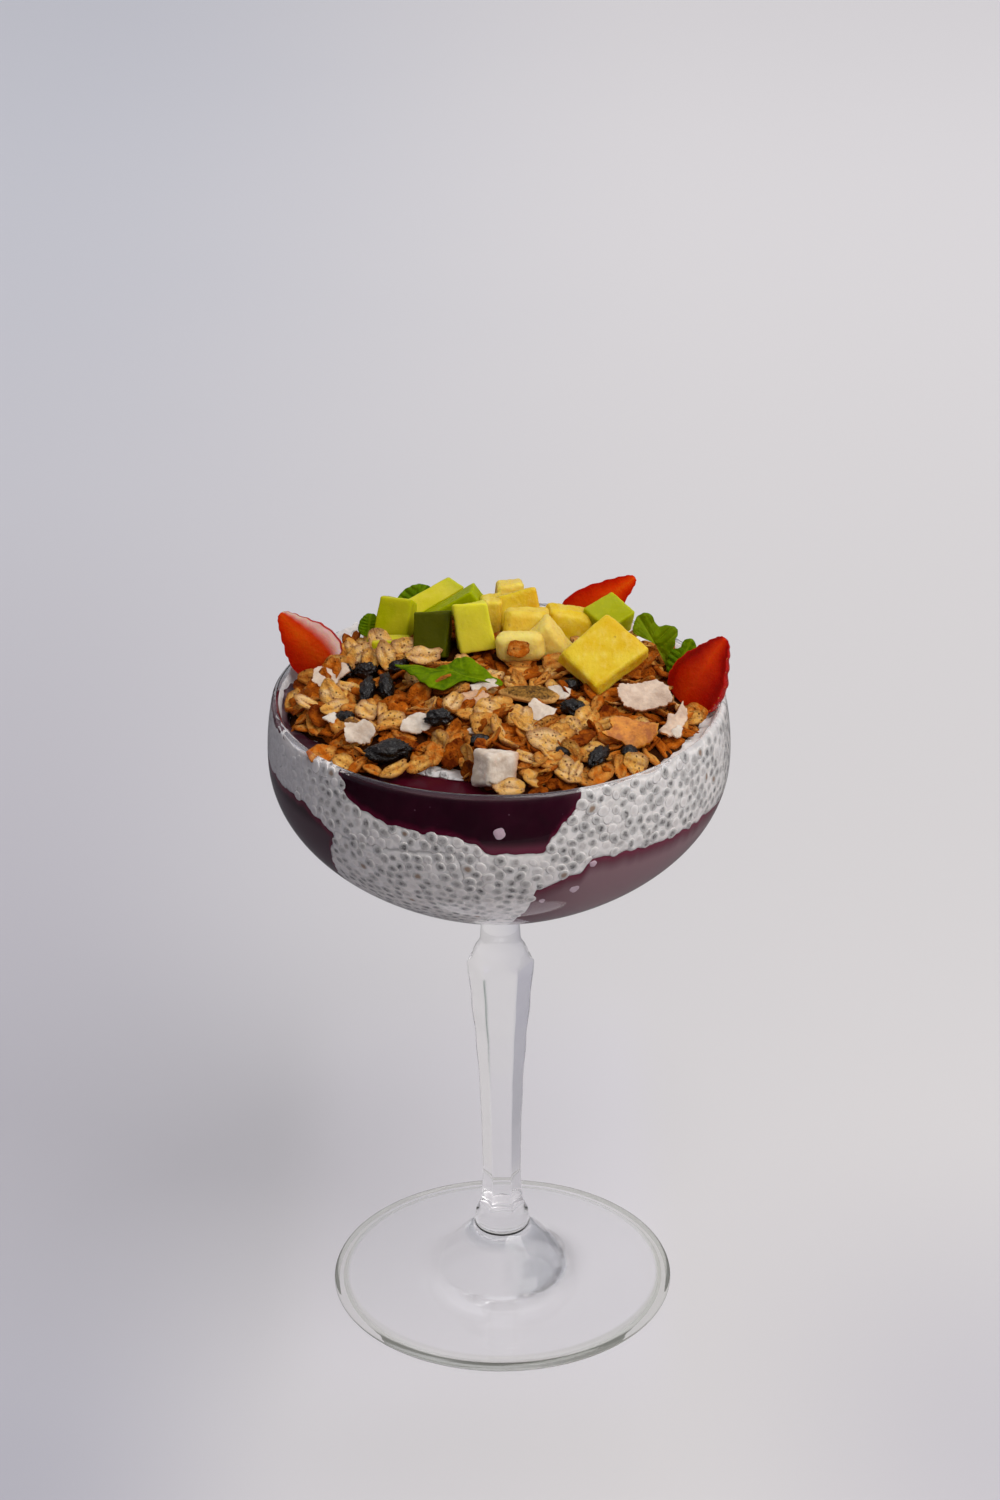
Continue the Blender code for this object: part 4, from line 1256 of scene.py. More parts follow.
makeFruit()
print("fruit made")


# Strawberry pieces: (length, radius, spread), (yaw, tilt, roll), how pale one side is,
# how ripe the flesh is, and the shift from the node
berries = {
    "strawberry_right": ((17.2, 7.4, 168), (40, -6, 34), 0.0, 1.0, (0.9, 0, -1.7)),
    "strawberry_left": ((16.0, 6.2, 175), (92, -20, -44), 1.0, 0.2, (0, 0, 0.2)),
    "strawberry_back": ((19.0, 5.4, 175), (80, -8, 54), 0.0, 0.3, (2.0, 0, -2.2)),
}


def berryShape(length, radius, spread):
    # part of a berry cut lengthwise: the tip is at +z, the skin looks along +x
    along, arcs, inward, middle = 56, 40, 14, 0.42
    profile = [(0.0, 0.30), (0.02, 0.55), (0.06, 0.82), (0.18, 0.98), (0.33, 1.0),
               (0.5, 0.88), (0.67, 0.66), (0.82, 0.45), (0.93, 0.28), (0.985, 0.14)]
    rings, flesh, radial, sides = [], [], [], []
    for i in range(along + 1):
        t = profile[-1][0] * i / along
        share = curveThrough(profile, t)
        z = (t - middle) * length
        ring = []
        half = math.radians(spread) / 2
        for side in (-1, 1):
            part = []
            for k in range(inward):
                r = radius * share * k / inward
                part.append(((r * math.cos(half), side * r * math.sin(half), z),
                             1.0, k / inward, side * k / inward))
            if side < 0:
                ring += part
                for j in range(arcs + 1):
                    a = half * (2 * j / arcs - 1)
                    r = radius * share * (1 + 0.03 * noise.noise(Vector((a * 2, z / 4, 1))))
                    r *= 1 - 0.03 * seedDimple(a * radius * share, z)
                    ring.append(((r * math.cos(a), r * math.sin(a), z), 0.0, 1.0, 0.0))
            else:
                ring += part[:0:-1]
        rings.append([p[0] for p in ring])
        flesh += [p[1] for p in ring]
        radial += [p[2] for p in ring]
        sides += [p[3] for p in ring]
    base = tuple(sum(p[i] for p in rings[0]) / len(rings[0]) for i in range(3))
    tip = (0.02 * radius, 0.0, 0.575 * length)
    points, faces = lathe(rings, base, tip)
    return points, faces, {"flesh": flesh + [1.0, 0.0], "radial": radial + [0.4, 1.0],
                           "side": sides + [0.0, 0.0]}


def seedDimple(across, z):
    # pits on the skin in a skewed grid, deepest at 1
    u = across / 1.9
    v = z / 1.7 + 0.5 * (math.floor(u) % 2)
    du, dv = u - math.floor(u) - 0.5, v - math.floor(v) - 0.5
    return math.exp(-(du * du + dv * dv) / 0.035)


def makeBerryLook():
    material, paint = startLook("strawberry")
    soft = paint.cloud(0.004, 3.0, 0.6)
    fine = paint.cloud(0.0009, 2.0, 0.6)
    height = paint.place().parts()[2]
    inner = paint.attribute("radial") * 0.8 + soft * 0.5 - 0.25
    wet = (inner + paint.attribute("ripe") * 0.35).clamped().ramp(
        (0.0, tint(238, 92, 12)), (0.45, tint(228, 58, 4)),
        (0.85, tint(188, 22, 0)), (1.0, tint(154, 10, 0)))
    # painted shade: the cut face darker low down
    shaded = (height.fade(0.1515, 0.1600) * 0.55).mix(wet, tint(150, 14, 0))
    cut = paint.attribute("pale").step(0.1, 0.9).mix(shaded, tint(252, 216, 202))
    skin = soft.step(0.3, 0.75).mix(tint(158, 12, 12), tint(192, 34, 28))
    seeded = paint.attribute("pit").step(0.55, 0.8).mix(skin, tint(214, 160, 70))
    return finishLook(material, paint.attribute("flesh").mix(seeded, cut), fine * 0.25 + 0.16,
                      (fine + paint.cloud(0.003, 2.0, 0.5)).bump(0.0004, 0.35), 0.08,
                      (0.45, 0.003, (1.0, 0.16, 0.02)), (0.03, 0.12))


def makeBerries():
    look = makeBerryLook()
    for node, (shape, turns, band, ripe, shift) in berries.items():
        points, faces, values = berryShape(*shape)
        values["pale"] = [band * max(0.0, (-side - 0.3) / 0.7) for side in values.pop("side")]
        values["ripe"] = [ripe] * len(points)
        values["pit"] = [
            0.0 if inner > 0.5 else seedDimple(math.atan2(y, x) * math.hypot(x, y), z)
            for (x, y, z), inner in zip(points, values["flesh"])]
        points = settleAt(points, turns, node, shift)
        addPiece(nameOf(node), (points, faces), look, "strawberry", node, values, 50)


makeBerries()
print("strawberries made")


# Leaves: outline on the leaf's own plane, where its middle vein begins and ends,
# (yaw, tilt, roll) and its shift from the node
leaves = {
    "mint_front": ([(-10.8, 4.9), (-8.3, 4.1), (-5.6, 3.3), (-1.7, 3.5), (1.0, 4.4),
                    (2.7, 6.2), (4.4, 6.7), (6.0, 6.2), (7.2, 4.5), (9.0, 2.3), (11.0, 1.0),
                    (12.4, -0.2), (11.0, -0.9), (8.6, -0.4), (5.0, -1.0), (2.9, -2.1),
                    (1.0, -4.4), (-1.7, -4.9), (-4.0, -3.3), (-6.3, -0.6), (-9.1, 2.9)],
                   ((12.0, -0.5), (-10.4, 4.6)), (0, 16, 3), (0, 0, 1.2)),
    "mint_back": ([(-5.0, -2.6), (-4.4, 0.2), (-3.0, 2.6), (-1.0, 4.0), (1.2, 4.4),
                   (3.4, 4.1), (5.0, 2.8), (5.2, 0.4), (4.2, -2.2), (1.6, -4.0),
                   (-2.4, -4.2)], ((-4.0, -3.6), (4.0, 3.4)), (10, 62, -10), (0, 0, 0)),
    "mint_left": ([(-2.5, -0.5), (-1.9, 1.0), (-0.6, 2.2), (1.0, 2.5), (2.2, 1.8),
                   (2.5, 0.2), (1.9, -1.4), (0.6, -2.4), (-1.3, -2.1)],
                  ((-1.1, -2.1), (1.4, 2.1)), (16, 58, -8), (1.2, 0, -1.0)),
    "mint_right": ([(-5.0, 1.2), (-4.2, 3.3), (-3.0, 4.3), (-1.5, 4.3), (-0.5, 3.5),
                    (-0.1, 2.3), (0.7, 1.3), (2.3, 1.4), (3.8, 1.0), (4.65, 0.2),
                    (4.6, -1.1), (4.0, -2.0), (3.9, -3.1), (3.1, -4.2), (2.8, -6.0),
                    (2.7, -8.6), (2.0, -8.6), (2.1, -6.0), (1.9, -4.3), (0.9, -3.5),
                    (-0.7, -2.4), (-2.2, -1.5), (-3.8, -0.6), (-4.9, 0.1)],
                   ((2.4, -8.0), (-3.4, 3.4)), (4, 64, 0), (0.4, 0, -1.1)),
    "mint_right_low": ([(-4.0, -3.0), (-3.6, -0.6), (-2.4, 1.6), (-0.8, 2.9), (0.8, 2.7),
                        (2.2, 3.9), (4.0, 3.6), (4.3, 1.8), (3.4, -0.4), (2.0, -2.6),
                        (-0.6, -4.0), (-2.6, -3.8)], ((-3.2, -3.4), (3.4, 3.0)),
                       (10, 62, -12), (0.2, 0, -2.0)),
}


def leafShape(outline, spine, seed):
    # a sheet inside the outline, folded a little along its middle vein
    count, steps, rings, thick = len(outline), 6, 9, 0.28
    start, end = (Vector(spot) for spot in spine)
    along = (end - start).normalized()
    centre = start.lerp(end, 0.48)
    rim = []
    for i in range(count):
        keys = [Vector(outline[(i + k) % count]) for k in (-1, 0, 1, 2)]
        for step in range(steps):
            spot = between(*keys, step / steps)
            jag = 0.16 * noise.noise(Vector((spot.x * 1.1, spot.y * 1.1, seed)))
            rim.append(spot + (spot - centre).normalized() * jag)
    upper, marks = [], []
    for ring in range(1, rings + 1):
        top, marked = [], []
        for spot in rim:
            here = centre.lerp(spot, ring / rings)
            far = here - start
            t = far.dot(along) / (end - start).length
            off = abs(far.x * along.y - far.y * along.x)
            side = abs((t * 7 - 0.12 * off) % 1.0 - 0.5)  # side veins, 7 along the leaf
            mark = math.exp(-(off / 0.3) ** 2)
            marked.append(max(mark, 0.6 * math.exp(-(side / 0.09) ** 2)))
            curl = 0.14 * off - 0.010 * here.length_squared * 0.6
            puff = 0.5 * math.sin(math.pi * side) * min(1.0, off)
            wave = 0.9 * noise.noise(Vector((here.x / 4, here.y / 4, seed + 3)))
            top.append((here.x, here.y, curl + puff + wave))
        upper.append(top)
        marks.append(marked)
    under = [[(x, y, z - thick) for x, y, z in top] for top in upper]
    middle = noise.noise(Vector((centre.x / 4, centre.y / 4, seed + 3))) * 0.9
    points, faces = lathe(under + upper[::-1], (centre.x, centre.y, middle - thick),
                          (centre.x, centre.y, middle))
    vein = [value for ring in marks + marks[::-1] for value in ring]
    return points, faces, vein + [1.0, 1.0]


def makeLeafLook(name, deep, bright, ribs):
    material, paint = startLook(name)
    fine = paint.cloud(0.0008, 3.0, 0.6)
    vein = paint.attribute("vein")
    blade = (paint.cloud(0.005, 3.0) * 0.7 + fine * 0.3).step(0.3, 0.7).mix(deep, bright)
    return finishLook(material, (vein * 0.45).mix(blade, ribs), fine * 0.2 + 0.35,
                      (fine - vein * 0.8).bump(0.0003, 0.5), 0.03,
                      (0.2, 0.001, (0.4, 1.0, 0.05)))


def makeLeaves():
    mint = makeLeafLook("mint leaf", tint(52, 82, 0), tint(112, 138, 0),
                        tint(150, 174, 20))
    olive = makeLeafLook("lobed leaf", tint(92, 112, 2), tint(118, 136, 4),
                         tint(142, 158, 24))
    for seed, (node, (outline, spine, turns, shift)) in enumerate(leaves.items()):
        points, faces, vein = leafShape(outline, spine, seed)
        shape = settleAt(points, turns, node, shift), faces
        look = olive if node == "mint_right" else mint
        addPiece(nameOf(node, "leaf"), shape, look, "mint", node, {"vein": vein})


makeLeaves()
print("leaves made")


# Coconut: (length, width, seed, bend, thickness), (yaw, tilt, roll), how toasted it is
# and its shift from the node
chips = {
    "coconut_white_right": ((11.8, 8.6, 2, 0.03, 0.9), (-8, 36, 4), 0.22, (-1.8, 0, 1.2)),
    "coconut_white_left": ((7.8, 6.6, 3, 0.04, 0.6), (6, 34, 3), 0.04, (1.2, 0, 0)),
    "coconut_far_left": ((7.6, 6.2, 4, 0.05, 0.6), (-12, 40, -8), 0.12, (1.2, 0, 0.9)),
    "coconut_toasted": ((13.2, 8.8, 5, 0.05, 0.9), (16, 32, 6), 0.95, (0, 0, 0.3)),
    "coconut_half_moon": ((11.0, 5.6, 6, 0.05, 0.8), (74, 16, 10), 0.3, (-0.6, -1.2, -0.6)),
    "coconut_middle": ((7.0, 6.0, 7, 0.03, 0.6), (-20, 34, 6), 0.1, (0, 0, 0)),
    "coconut_back_left": ((8.2, 6.6, 8, 0.03, 0.7), (4, 34, -4), 0.2, (2.2, 2.0, 1.6)),
}
# the thick chunk at the front, brown where the shell was
chunk = {"size": (7.6, 6.4, 7.6), "seed": 44, "rounding": 1.3, "rough": 0.3,
         "turns": (36, -20, 6), "shell": 0.7}


def chipShape(length, width, seed, bend=0.02, thick=0.8):
    # broken shaving: an outline of straight edges, rings of points inside it
    rng = random.Random(seed)
    around, rings = 96, 8
    count = rng.choice((9, 10, 12))
    turns = [(i + rng.uniform(-0.3, 0.3)) * math.tau / count for i in range(count)]
    knots = []
    for a in turns:
        reach = rng.choice((0.62, 0.9, 1.0, 1.06)) * rng.uniform(0.94, 1.04)
        knots.append(Vector((math.cos(a) * reach * length / 2, math.sin(a) * reach * width / 2)))
    outline = []
    for j in range(around):
        at = count * j / around
        i = int(at)
        spot = knots[i].lerp(knots[(i + 1) % count], at - i)
        jag = 1 + 0.10 * noise.noise(Vector((spot.x * 1.4, spot.y * 1.4, seed)))
        jag += 0.06 * noise.noise(Vector((spot.x * 4.0, spot.y * 4.0, seed)))
        outline.append(spot * jag)
    points, edge = [], []
    for side in (1, -1):
        levels = range(1, rings + 1) if side > 0 else range(rings, 0, -1)
        for level in levels:
            share = level / rings
            fall = thick / 2 * (1 - 0.35 * share ** 8)
            for spot in outline:
                x, y = spot * share
                z = bend * (x * x - y * y)
                z += 0.5 * noise.noise(Vector((x / 3, y / 3, seed)))
                z += 0.16 * noise.noise(Vector((x, y, seed)))
                points.append((x, y, z + side * fall))
                edge.append(share if side > 0 else 1.0)
    faces = tubeFaces(2 * rings, around)
    faces.append(tuple(reversed(range(around))))
    faces.append(tuple(range((2 * rings - 1) * around, 2 * rings * around)))
    return points, faces, edge


def makeCoconutLook():
    material, paint = startLook("coconut flakes")
    soft = paint.cloud(0.003, 3.0, 0.6)
    fine = paint.cloud(0.0006, 3.0, 0.6)
    white = soft.step(0.25, 0.7).mix(tint(208, 188, 168), tint(242, 228, 212))
    brown = (soft * 0.7 + fine * 0.3).step(0.35, 0.65).mix(tint(178, 92, 6),
                                                           tint(232, 150, 48))
    edge = paint.attribute("edge").step(0.97, 1.0) * 0.5 * soft.step(0.3, 0.6)
    toasted = (paint.attribute("toast") + edge + soft * 0.2 - 0.12).clamped()
    specks = paint.dots(0.0016, 0.05, 0.09) * soft.step(0.5, 0.6) * 0.6
    colour = specks.mix(toasted.mix(white, brown), tint(120, 84, 50))
    return finishLook(material, colour, fine * 0.2 + 0.35, fine.bump(0.0003, 0.5), 0.14,
                      (0.4, 0.002, (1.0, 0.85, 0.7)))


coconutLook = makeCoconutLook()


def makeCoconut():
    for node, (shape, turns, toast, shift) in chips.items():
        points, faces, edge = chipShape(*shape)
        shape = settleAt(points, turns, node, shift), faces
        addPiece(nameOf(node), shape, coconutLook, "coconut", node,
                 {"edge": edge, "toast": [toast] * len(edge)}, 60)
    points, faces = blockShape(*(chunk[key] for key in ("size", "seed", "rounding", "rough")))
    shell = [chunk["shell"] * min(1.0, max(0.0, 4 * p[0] / chunk["size"][0] - 0.8))
             for p in points]
    shape = settleAt(points, chunk["turns"], "coconut_front"), faces
    addPiece("coconutFront", shape, coconutLook, "coconut", "coconut_front",
             {"edge": [0.5] * len(points), "toast": shell})


makeCoconut()
print("coconut made")


# Raisins, a black grain and a pumpkin seed: sizes, seed, (yaw, tilt, roll)
pebbles = {
    "raisin_front": ((9.0, 5.1, 4.4), 1, (10, 8, -6)),
    "raisin_left_a": ((5.4, 3.8, 3.4), 2, (14, 4, 0)),
    "raisin_left_b": ((5.2, 3.8, 3.4), 3, (8, 4, 0)),
    "raisin_mid_a": ((6.8, 3.2, 3.4), 4, (82, 22, 0)),
    "raisin_mid_b": ((6.8, 3.2, 3.4), 5, (96, 22, 0)),
    "raisin_centre": ((5.6, 3.8, 3.4), 6, (4, 4, 0)),
    "raisin_right": ((5.4, 3.8, 3.4), 7, (-20, 4, 0)),
    "black_grain": ((7.2, 3.3, 3.0), 8, (62, 4, 0)),
    "pumpkin_seed": ((13.2, 6.0, 2.5), 9, (-4, 14, 3)),
}


def pebbleShape(size, seed, rough, wrinkle, rows=34, columns=44):
    rings = []
    for i in range(1, rows):
        lat = math.pi * i / rows - math.pi / 2
        ring = []
        for j in range(columns):
            lon = math.tau * j / columns
            spot = Vector((math.sin(lat), math.cos(lat) * math.cos(lon),
                           math.cos(lat) * math.sin(lon)))
            swell = 1 + rough * noise.noise(spot * 2.1 + Vector((seed, 0, 0)))
            fold = abs(noise.noise(Vector((spot.x * 1.5, spot.y * 4, spot.z * 4 + seed))))
            fine = abs(noise.noise(Vector((spot.x * 4, spot.y * 8, spot.z * 8 + seed))))
            swell *= 1 + wrinkle * (2.2 * fold + 1.4 * fine - 0.8)
            ring.append(tuple(0.5 * s * c * swell for s, c in zip(size, spot)))
        rings.append(ring)
    return lathe(rings, (-size[0] / 2, 0, 0), (size[0] / 2, 0, 0))


def makeRaisinLook():
    material, paint = startLook("raisin")
    bloom = paint.cloud(0.0016, 3.0, 0.6)
    fine = paint.cloud(0.0005, 2.0, 0.6)
    colour = bloom.ramp((0.3, tint(8, 4, 3)), (0.6, tint(21, 14, 12)),
                        (0.9, tint(66, 54, 50)))
    return finishLook(material, colour, bloom * 0.3 + 0.12, (fine + bloom).bump(0.0004, 0.7),
                      0.4)


def makeSeedHullLook():
    material, paint = startLook("pumpkin seed hull")
    soft = paint.cloud(0.002, 3.0, 0.6, (0.35, 1.0, 1.0))
    fine = paint.cloud(0.0005, 2.0, 0.6)
    speckled = (soft * 0.5 + fine * 0.5).step(0.38, 0.62)
    face = speckled.mix(tint(64, 38, 6), tint(160, 114, 46))
    rim = (paint.attribute("edge") + fine * 0.3 - 0.15).step(0.74, 0.95) * 0.85
    return finishLook(material, rim.mix(face, tint(216, 160, 88)), fine * 0.2 + 0.4,
                      (soft + fine).bump(0.0003, 0.6), 0.12)


raisinLook = makeRaisinLook()


def makePebbles():
    hull = makeSeedHullLook()
    for node, (size, seed, turns) in pebbles.items():
        isSeed = node == "pumpkin_seed"
        rough, wrinkle = (0.05, 0.02) if isSeed else (0.22, 0.14)
        points, faces = pebbleShape(size, seed, rough, wrinkle)
        edge = [math.hypot(2 * p[0] / size[0], 2 * p[1] / size[1]) for p in points]
        if isSeed:  # it comes to a point at the left
            points = [(x, y * (0.86 + 0.5 * x / size[0]), z) for x, y, z in points]
        shape = settleAt(points, turns, node), faces
        addPiece(nameOf(node), shape, hull if isSeed else raisinLook,
                 "seed" if isSeed else "raisin", node, {"edge": edge})


makePebbles()
print("raisins and seed made")


# Rolled oats, strewn in three layers round what lies on the heap
oats = {
    "long": 3.45, "wide": 2.5, "thick": 0.95, "kinds": 12, "around": 18,
    "broken": 0.25,  # share of narrow broken flakes
    "sizes": (0.82, 1.1),
    "layers": [  # spacing, clearance, lean, lift low, lift high, lightest tone; the bottom layer's is lower, as painted shade
        (2.9, 1.5, 0.45, 0.0, 0.5, 0.6),
        (3.5, 2.9, 0.65, 0.9, 1.6, 0.95),
        (4.6, 3.6, 0.95, 1.7, 2.6, 1.0),
    ],
    "placed": [  # x, y, lift, size, yaw, tilt, roll, tone
        (-37.0, -26.6, 1.2, 0.98, 20, 26, 8, 0.5), (-32.6, -30.0, 0.6, 0.8, -30, 24, 10, 0.7),
        (-29.4, -32.6, 1.2, 0.95, 50, 20, -6, 0.35), (-26.2, -34.2, 0.8, 0.8, -20, 30, 12, 0.5),
        (-27.6, 6.6, 3.6, 1.0, 70, 60, -10, 0.8), (-24.4, 6.0, 3.9, 1.0, -60, 56, 10, 0.9),
        (-20.8, 6.4, 3.2, 0.95, 20, 58, 16, 0.6), (-36.0, 4.0, 3.6, 0.95, 60, 40, -20, 0.4),
        (-33.0, 9.0, 3.2, 0.9, 10, 50, 10, 0.6), (-31.4, 10.0, 5.0, 0.8, -40, 50, 20, 0.8),
        (-22.6, 8.6, 2.6, 1.1, 48, 30, -20, 1.0), (-15.8, 6.4, 2.8, 1.15, 8, 34, 4, 1.0),
        (-13.6, 9.6, 3.2, 0.95, -40, 30, 24, 0.9), (-21.4, 6.0, 1.6, 0.9, -20, 20, 10, 0.8),
        (-40.4, 6.0, 2.2, 1.0, -30, 50, -24, 0.6), (-38.6, 1.6, 2.2, 1.0, 40, 44, -16, 0.3),
        (-34.4, 7.0, 3.8, 1.0, -10, 60, -8, 0.7), (-29.6, 8.4, 4.6, 1.05, 30, 62, 0, 0.9),
        (-25.0, 9.6, 5.0, 1.1, -50, 60, 8, 1.0), (-20.4, 9.0, 4.4, 1.0, 10, 58, 12, 0.9),
        (12.0, 4.4, 1.8, 1.0, 30, 40, 8, 0.6), (4.4, 4.5, 1.8, 1.0, -20, 44, 0, 0.5),
        (23.8, -0.3, 2.0, 0.9, 20, 30, 6, 0.7), (0.1, -13.8, 1.2, 1.0, 6, 30, 2, 0.7),
        (-2.5, -22.6, 1.8, 1.25, -8, 32, 4, 0.7), (4.5, -20.5, 2.2, 0.95, 78, 40, 6, 0.95),
        (9.8, -29.7, 2.2, 1.2, -14, 34, 6, 1.0), (10.6, -35.5, 1.6, 1.0, -6, 26, 0, 0.6),
        (-13.6, -29.2, 2.0, 1.0, 84, 44, 6, 0.5), (15.9, -39.2, 1.6, 0.95, 70, 36, 10, 1.0),
        (2.2, -43.3, 1.2, 1.15, -8, 24, 0, 0.95), (-21.6, -35.0, 1.4, 0.95, 24, 30, -10, 0.75),
        (-16.6, -33.6, 1.8, 1.0, 24, 36, 0, 0.6), (-38.1, 13.6, 2.0, 1.0, 20, 50, -20, 0.5),
        (4.4, 3.0, 5.6, 0.8, 12, 50, 4, 0.4), (3.4, -3.6, 1.6, 0.9, 0, 32, 6, 0.8),
        (9.4, -3.0, 1.6, 0.8, 40, 30, -8, 0.5), (21.0, -8.6, 1.6, 0.95, -24, 20, 20, 0.2),
        (24.2, -9.8, 2.0, 0.9, 10, 26, -14, 0.3),
        (41.0, -11.4, 1.0, 0.85, 30, 30, 16, 0.6), (42.6, -12.0, 2.2, 0.75, -50, 44, -20, 0.5),
        (39.8, -13.0, 2.0, 0.75, 80, 10, 20, 0.4), (41.6, -13.6, 1.2, 0.7, 10, 50, 0, 0.7),
        (-34.6, -10.6, 2.4, 1.05, 30, 34, 12, 0.9), (-27.8, -14.0, 2.4, 1.0, -40, 24, 6, 0.95),
        (-22.4, -18.6, 2.0, 0.95, 10, 40, 4, 0.8), (-2.4, -16.6, 2.4, 1.0, -12, 34, 4, 0.9),
        (-9.6, -14.0, 2.4, 0.95, 60, 30, -4, 0.9), (5.4, -24.6, 2.4, 1.1, -34, 26, 12, 0.85),
        (12.6, -26.8, 2.2, 1.0, 20, 24, -10, 0.7), (18.4, -20.6, 2.6, 0.95, 70, 30, 30, 0.8),
    ],
}


def oatShape(rng):
    around, brokenWidth = oats["around"], 0.55
    long = oats["long"] * rng.uniform(0.85, 1.12)
    wide = oats["wide"] * rng.uniform(0.75, 1.1)
    if rng.random() < oats["broken"]:
        wide *= brokenWidth
    curl = rng.uniform(-0.04, 0.09)
    bend = rng.uniform(-0.04, 0.06)
    shift = rng.uniform(0, 60)
    thick = oats["thick"] * rng.uniform(0.8, 1.3)

    def spot(share, a, side):
        cleft = 1 - 0.22 * math.exp(-(a / 0.35) ** 2) * share
        wobble = 1 + 0.26 * noise.noise(Vector((math.cos(a) * 1.3, math.sin(a) * 1.3, shift)))
        x = long * share * math.cos(a) * cleft * wobble
        y = wide * share * math.sin(a) * wobble
        z = curl * y * y + bend * x * x
        z += 0.7 * noise.noise(Vector((x / 1.8, y / 1.8, shift + 5)))
        groove = 0.34 * math.exp(-(y / 0.5) ** 2) * (1 - share ** 2)
        body = thick / 2 * math.sqrt(max(0.0, 1 - 0.88 * share * share))
        return (x, y, z + side * body - side * groove)

    points, edge, groove = [spot(0.0, 1.0, 1)], [0.0], [1.0]
    rings = [(share, 1) for share in (0.35, 0.7, 0.9, 1.0)] + [(0.95, -1), (0.5, -1)]
    for share, side in rings:
        for j in range(around):
            a = math.tau * j / around - math.pi
            points.append(spot(share, a, side))
            edge.append(share)
            groove.append(math.exp(-(wide * share * math.sin(a) / 0.4) ** 2))
    points.append(spot(0.0, 1.0, -1))
    faces = shellFaces(len(rings), around)
    return points, faces, {"edge": edge + [0.0], "groove": groove + [0.0]}


def neighbourObject():
    # everything on the heap as one object, for the flakes to keep clear of
    meshes = []
    for obj in bpy.data.objects:
        replaced = list(obj.get("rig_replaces", []))
        if replaced and not replaced[0].startswith(("glass", "pudding", "berry", "granola")):
            meshes.append(obj.data)
    return pieceFrom("neighbours", meshes, raisinLook)


def makeOats():
    rng = random.Random(12)
    kinds = kindsOf("oatKind", [oatShape(rng) for _ in range(oats["kinds"])], oatLook)
    neighbours = neighbourObject()
    meshes = []
    small, large = oats["sizes"]
    for i, (spacing, clearance, lean, low, high, tone) in enumerate(oats["layers"]):
        values = {"Spacing": spacing * mm, "Seed": 20 + i, "Lean": lean,
                  "Clearance": clearance * mm, "Lift Low": low * mm, "Lift High": high * mm,
                  "Size Low": small, "Size High": large, "Tone High": tone}
        meshes.append(strew("oats", heapPiece, kinds, oatLook, neighbours, **values))
    bpy.data.objects.remove(neighbours, do_unlink=True)
    piece = pieceFrom("oatFlakes", meshes, oatLook)
    dropKinds(kinds)
    print("oat triangles:", sum(len(p.vertices) - 2 for p in piece.data.polygons))
    handOver(piece, slot="oats")


makeOats()
print("oats made")


# Small loose pieces that have no node of their own: place, size, yaw, and for the chips
# how toasted they are
looseBits = {
    "grain": [(-21.8, 5.5, (5.0, 3.4, 3.0), 20), (-32.3, -13.9, (4.6, 3.0, 2.8), -30),
              (-4.2, -27.2, (4.6, 2.8, 2.6), 20), (15.7, -5.0, (3.8, 3.0, 2.6), 10),
              (27.1, -31.4, (3.8, 3.2, 2.8), 60), (13.3, -33.0, (3.4, 3.2, 2.6), 0)],
    "chip": [(-4.8, -23.0, (4.6, 3.4), 30, 0.1), (-34.8, -13.9, (6.0, 3.4), -20, 0.0),
             (37.6, -22.1, (3.2, 2.6), 40, 0.0), (13.0, -8.4, (5.4, 4.2), -30, 0.05),
             (-5.9, -12.8, (8.4, 6.2), 20, 0.6), (-3.0, -6.2, (7.4, 3.6), 8, 0.05)],
}


def makePlacedOats():
    rng = random.Random(5)
    parts = []
    for x, y, lift, size, yaw, tilt, roll, tone in oats["placed"]:
        points, faces, values = oatShape(rng)
        points = turned([Vector(p) * size for p in points], yaw, tilt, roll)
        place = Vector((x, y, heapTop(x, y) + lift))
        values["tone"] = [tone] * len(points)
        parts.append(([p + place for p in points], faces, values))
    points, faces, values = joinShapes(parts)
    handOver(makePiece("oatsOnTop", (points, faces), oatLook, values), slot="oats")


makePlacedOats()


def makeLooseBits():
    parts = []
    for i, (x, y, size, yaw) in enumerate(looseBits["grain"]):
        points, faces = pebbleShape(size, 30 + i, 0.22, 0.12, 18, 26)
        lift = Vector((x, y, heapTop(x, y) + 0.45 * size[2] + 0.5))
        parts.append(([p + lift for p in turned(points, yaw)], faces, {}))
    points, faces, _ = joinShapes(parts)
    addPiece("looseGrains", (points, faces), raisinLook, "raisin")
    parts = []
    for i, (x, y, size, yaw, toast) in enumerate(looseBits["chip"]):
        points, faces, edge = chipShape(*size, 40 + i, 0.03, 0.6)
        lift = Vector((x, y, heapTop(x, y) + 2.0))
        points = [p + lift for p in turned(points, yaw, 28)]
        parts.append((points, faces, {"edge": edge, "toast": [toast] * len(edge)}))
    points, faces, values = joinShapes(parts)
    addPiece("looseChips", (points, faces), coconutLook, "coconut", attributes=values)


makeLooseBits()
print("loose pieces made")


# Light, floor and camera
view = {
    "focal": 4038.0,      # in pixels of the 1000 by 1500 picture
    "long": 1500.0,
    "place": (0.0002, -0.7859, 0.5259),
    "pitch": 26.36,
    "roll": -0.37,
}


light = {
    "key": 32.5,          # watts, high up at the right
    "back": 3.0,
    "studio": 0.88,       # strength of the soft light from all round
    "above": tint(172, 172, 179),
    "left": tint(104, 106, 118),
    "right": tint(208, 208, 211),
    "behind": tint(210, 209, 214),
    "front": tint(206, 204, 206),
    "low": tint(64, 60, 64),
}


